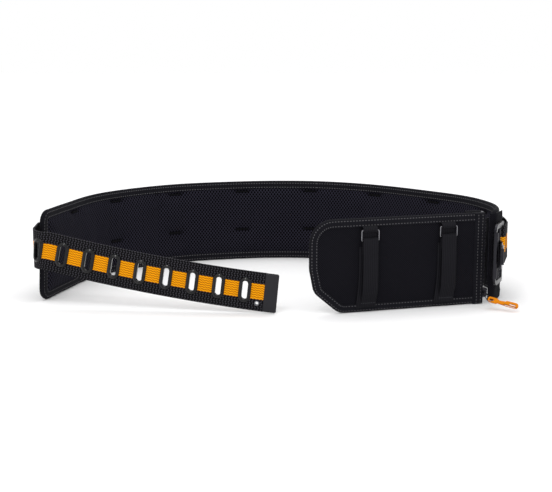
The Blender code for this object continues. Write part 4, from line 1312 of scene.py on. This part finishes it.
PULL_AT = Vector((0.2764, -0.1550, 0.0127))
PULL_AHEAD = Vector((0.0321, -0.0150, -0.0056)).normalized()
PULL_FACE = Vector((0.0, -0.80, 0.60))
PULL_HALF = 0.0012


def build_corner_loop():
    """The loop of webbing over the ring at the panel's top corner."""
    line = [(-0.0054, 0.1090), (-0.0056, 0.1170),
            *arc((CORNER_RING_OUT, CORNER_RING_TOP), 0.0016, 0, 180, 8),
            (-0.0094, 0.1160), (-0.0098, 0.1090)]
    band_piece(line, 0.0005, 0.0220, lambda out, up, across: on_panel(0.0142 + across, up, out),
               "corner_ring_cover", "keeper_webbing", "panel")


def build_rings():
    """The wire rings: one above each panel strap, and one at the panel's top corner."""
    rings = [(f"panel_ring_{number}", f"ring_{number}", middle, RING_BOTTOM, RING_TOP, RING_OUT)
             for number, middle in PANEL_STRAPS.items()]
    rings.append(("corner_ring", "panel", CORNER_RING_MIDDLE, CORNER_RING_BOTTOM, CORNER_RING_TOP,
                  CORNER_RING_OUT))
    half = RING_WIDTH / 2 - RING_WIRE
    for node, body, middle, low, high, out in rings:
        left, right = middle - half, middle + half
        corners = [(left, low), (right, low), (right, high), (left, high)]
        loop = [on_panel(*point, out) for point in rounded(corners, (0.0014,) * 4, steps=4)]
        mesh = curve_mesh([loop], dimensions="3D", bevel_depth=RING_WIRE, bevel_resolution=3)
        piece_of(mesh, f"{node}_wire", "ring", "ring_steel", 80, body, node)


def soften(obj, width, segments):
    bevel = obj.modifiers.new("edges", "BEVEL")
    bevel.width = width
    bevel.segments = segments
    bevel.limit_method = "ANGLE"
    return bevel


def build_pull():
    """The moulded pull: an eye on the link, a narrow waist and a long ring."""
    half = [(-0.0030, -0.0036), (0.0085, -0.0036), (0.0105, -0.0013), (0.0185, -0.0013),
            (0.0210, -0.0036), (0.0365, -0.0036)]
    radii = (0.0024, 0.0016, 0.0010, 0.0010, 0.0016, 0.0033)
    eye = [(0.0018 + y, x) for x, y in stadium(0.0015, 0.0030)]
    ring = [(0.0290 + y, x) for x, y in stadium(0.0011, 0.0042)]
    shape = plate([rounded(mirrored(half), radii + radii[::-1]), eye, ring], PULL_HALF)
    across = PULL_FACE.cross(PULL_AHEAD).normalized()
    face = PULL_AHEAD.cross(across)
    bent(shape, lambda x, y, z: PULL_AT + PULL_AHEAD * x + across * y + face * z)
    piece = piece_of(mesh_from(shape), "zipper_pull", "orange", "pull_plastic", 40, "pull",
                     "pull_tab")
    soften(piece, 0.0006, 3)


def dress_hardware():
    """Gives the CAD nodes that stay their finishes, and softens their edges."""
    for node, material, width, segments in (
        ("pull_link", "ring", 0.0, 0), ("zipper_slider", "buckle", 0.0003, 2),
        ("hook_rivet", "ring", 0.0004, 3), ("buckle_frame", "buckle", 0.0009, 3),
        ("buckle_hook", "buckle", 0.0006, 2), ("buckle_pin", "buckle", 0.0, 0),
        ("buckle_roller", "buckle", 0.0005, 2), ("zipper_panel_tape", "zipper", 0.0002, 2),
        ("zipper_belt_tape", "zipper", 0.0002, 2), ("corner_ring_tab", "thread", 0.0, 0),
    ):
        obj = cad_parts[node]
        obj.data.materials.clear()
        obj.data.materials.append(MATERIALS[material])
        if width:
            bevel = soften(obj, width, segments)
            bevel.angle_limit = math.radians(35)
            bevel.harden_normals = False


for build in (
    build_camera, build_studio, build_pad, build_bindings, build_straps, build_tip, build_fold,
    build_keepers, build_tacks, build_panel_pad, build_panel_binding, build_panel_straps,
    build_gusset, build_corner_loop, build_tip_eyelet, build_rings, build_pull, dress_hardware,
):
    build()
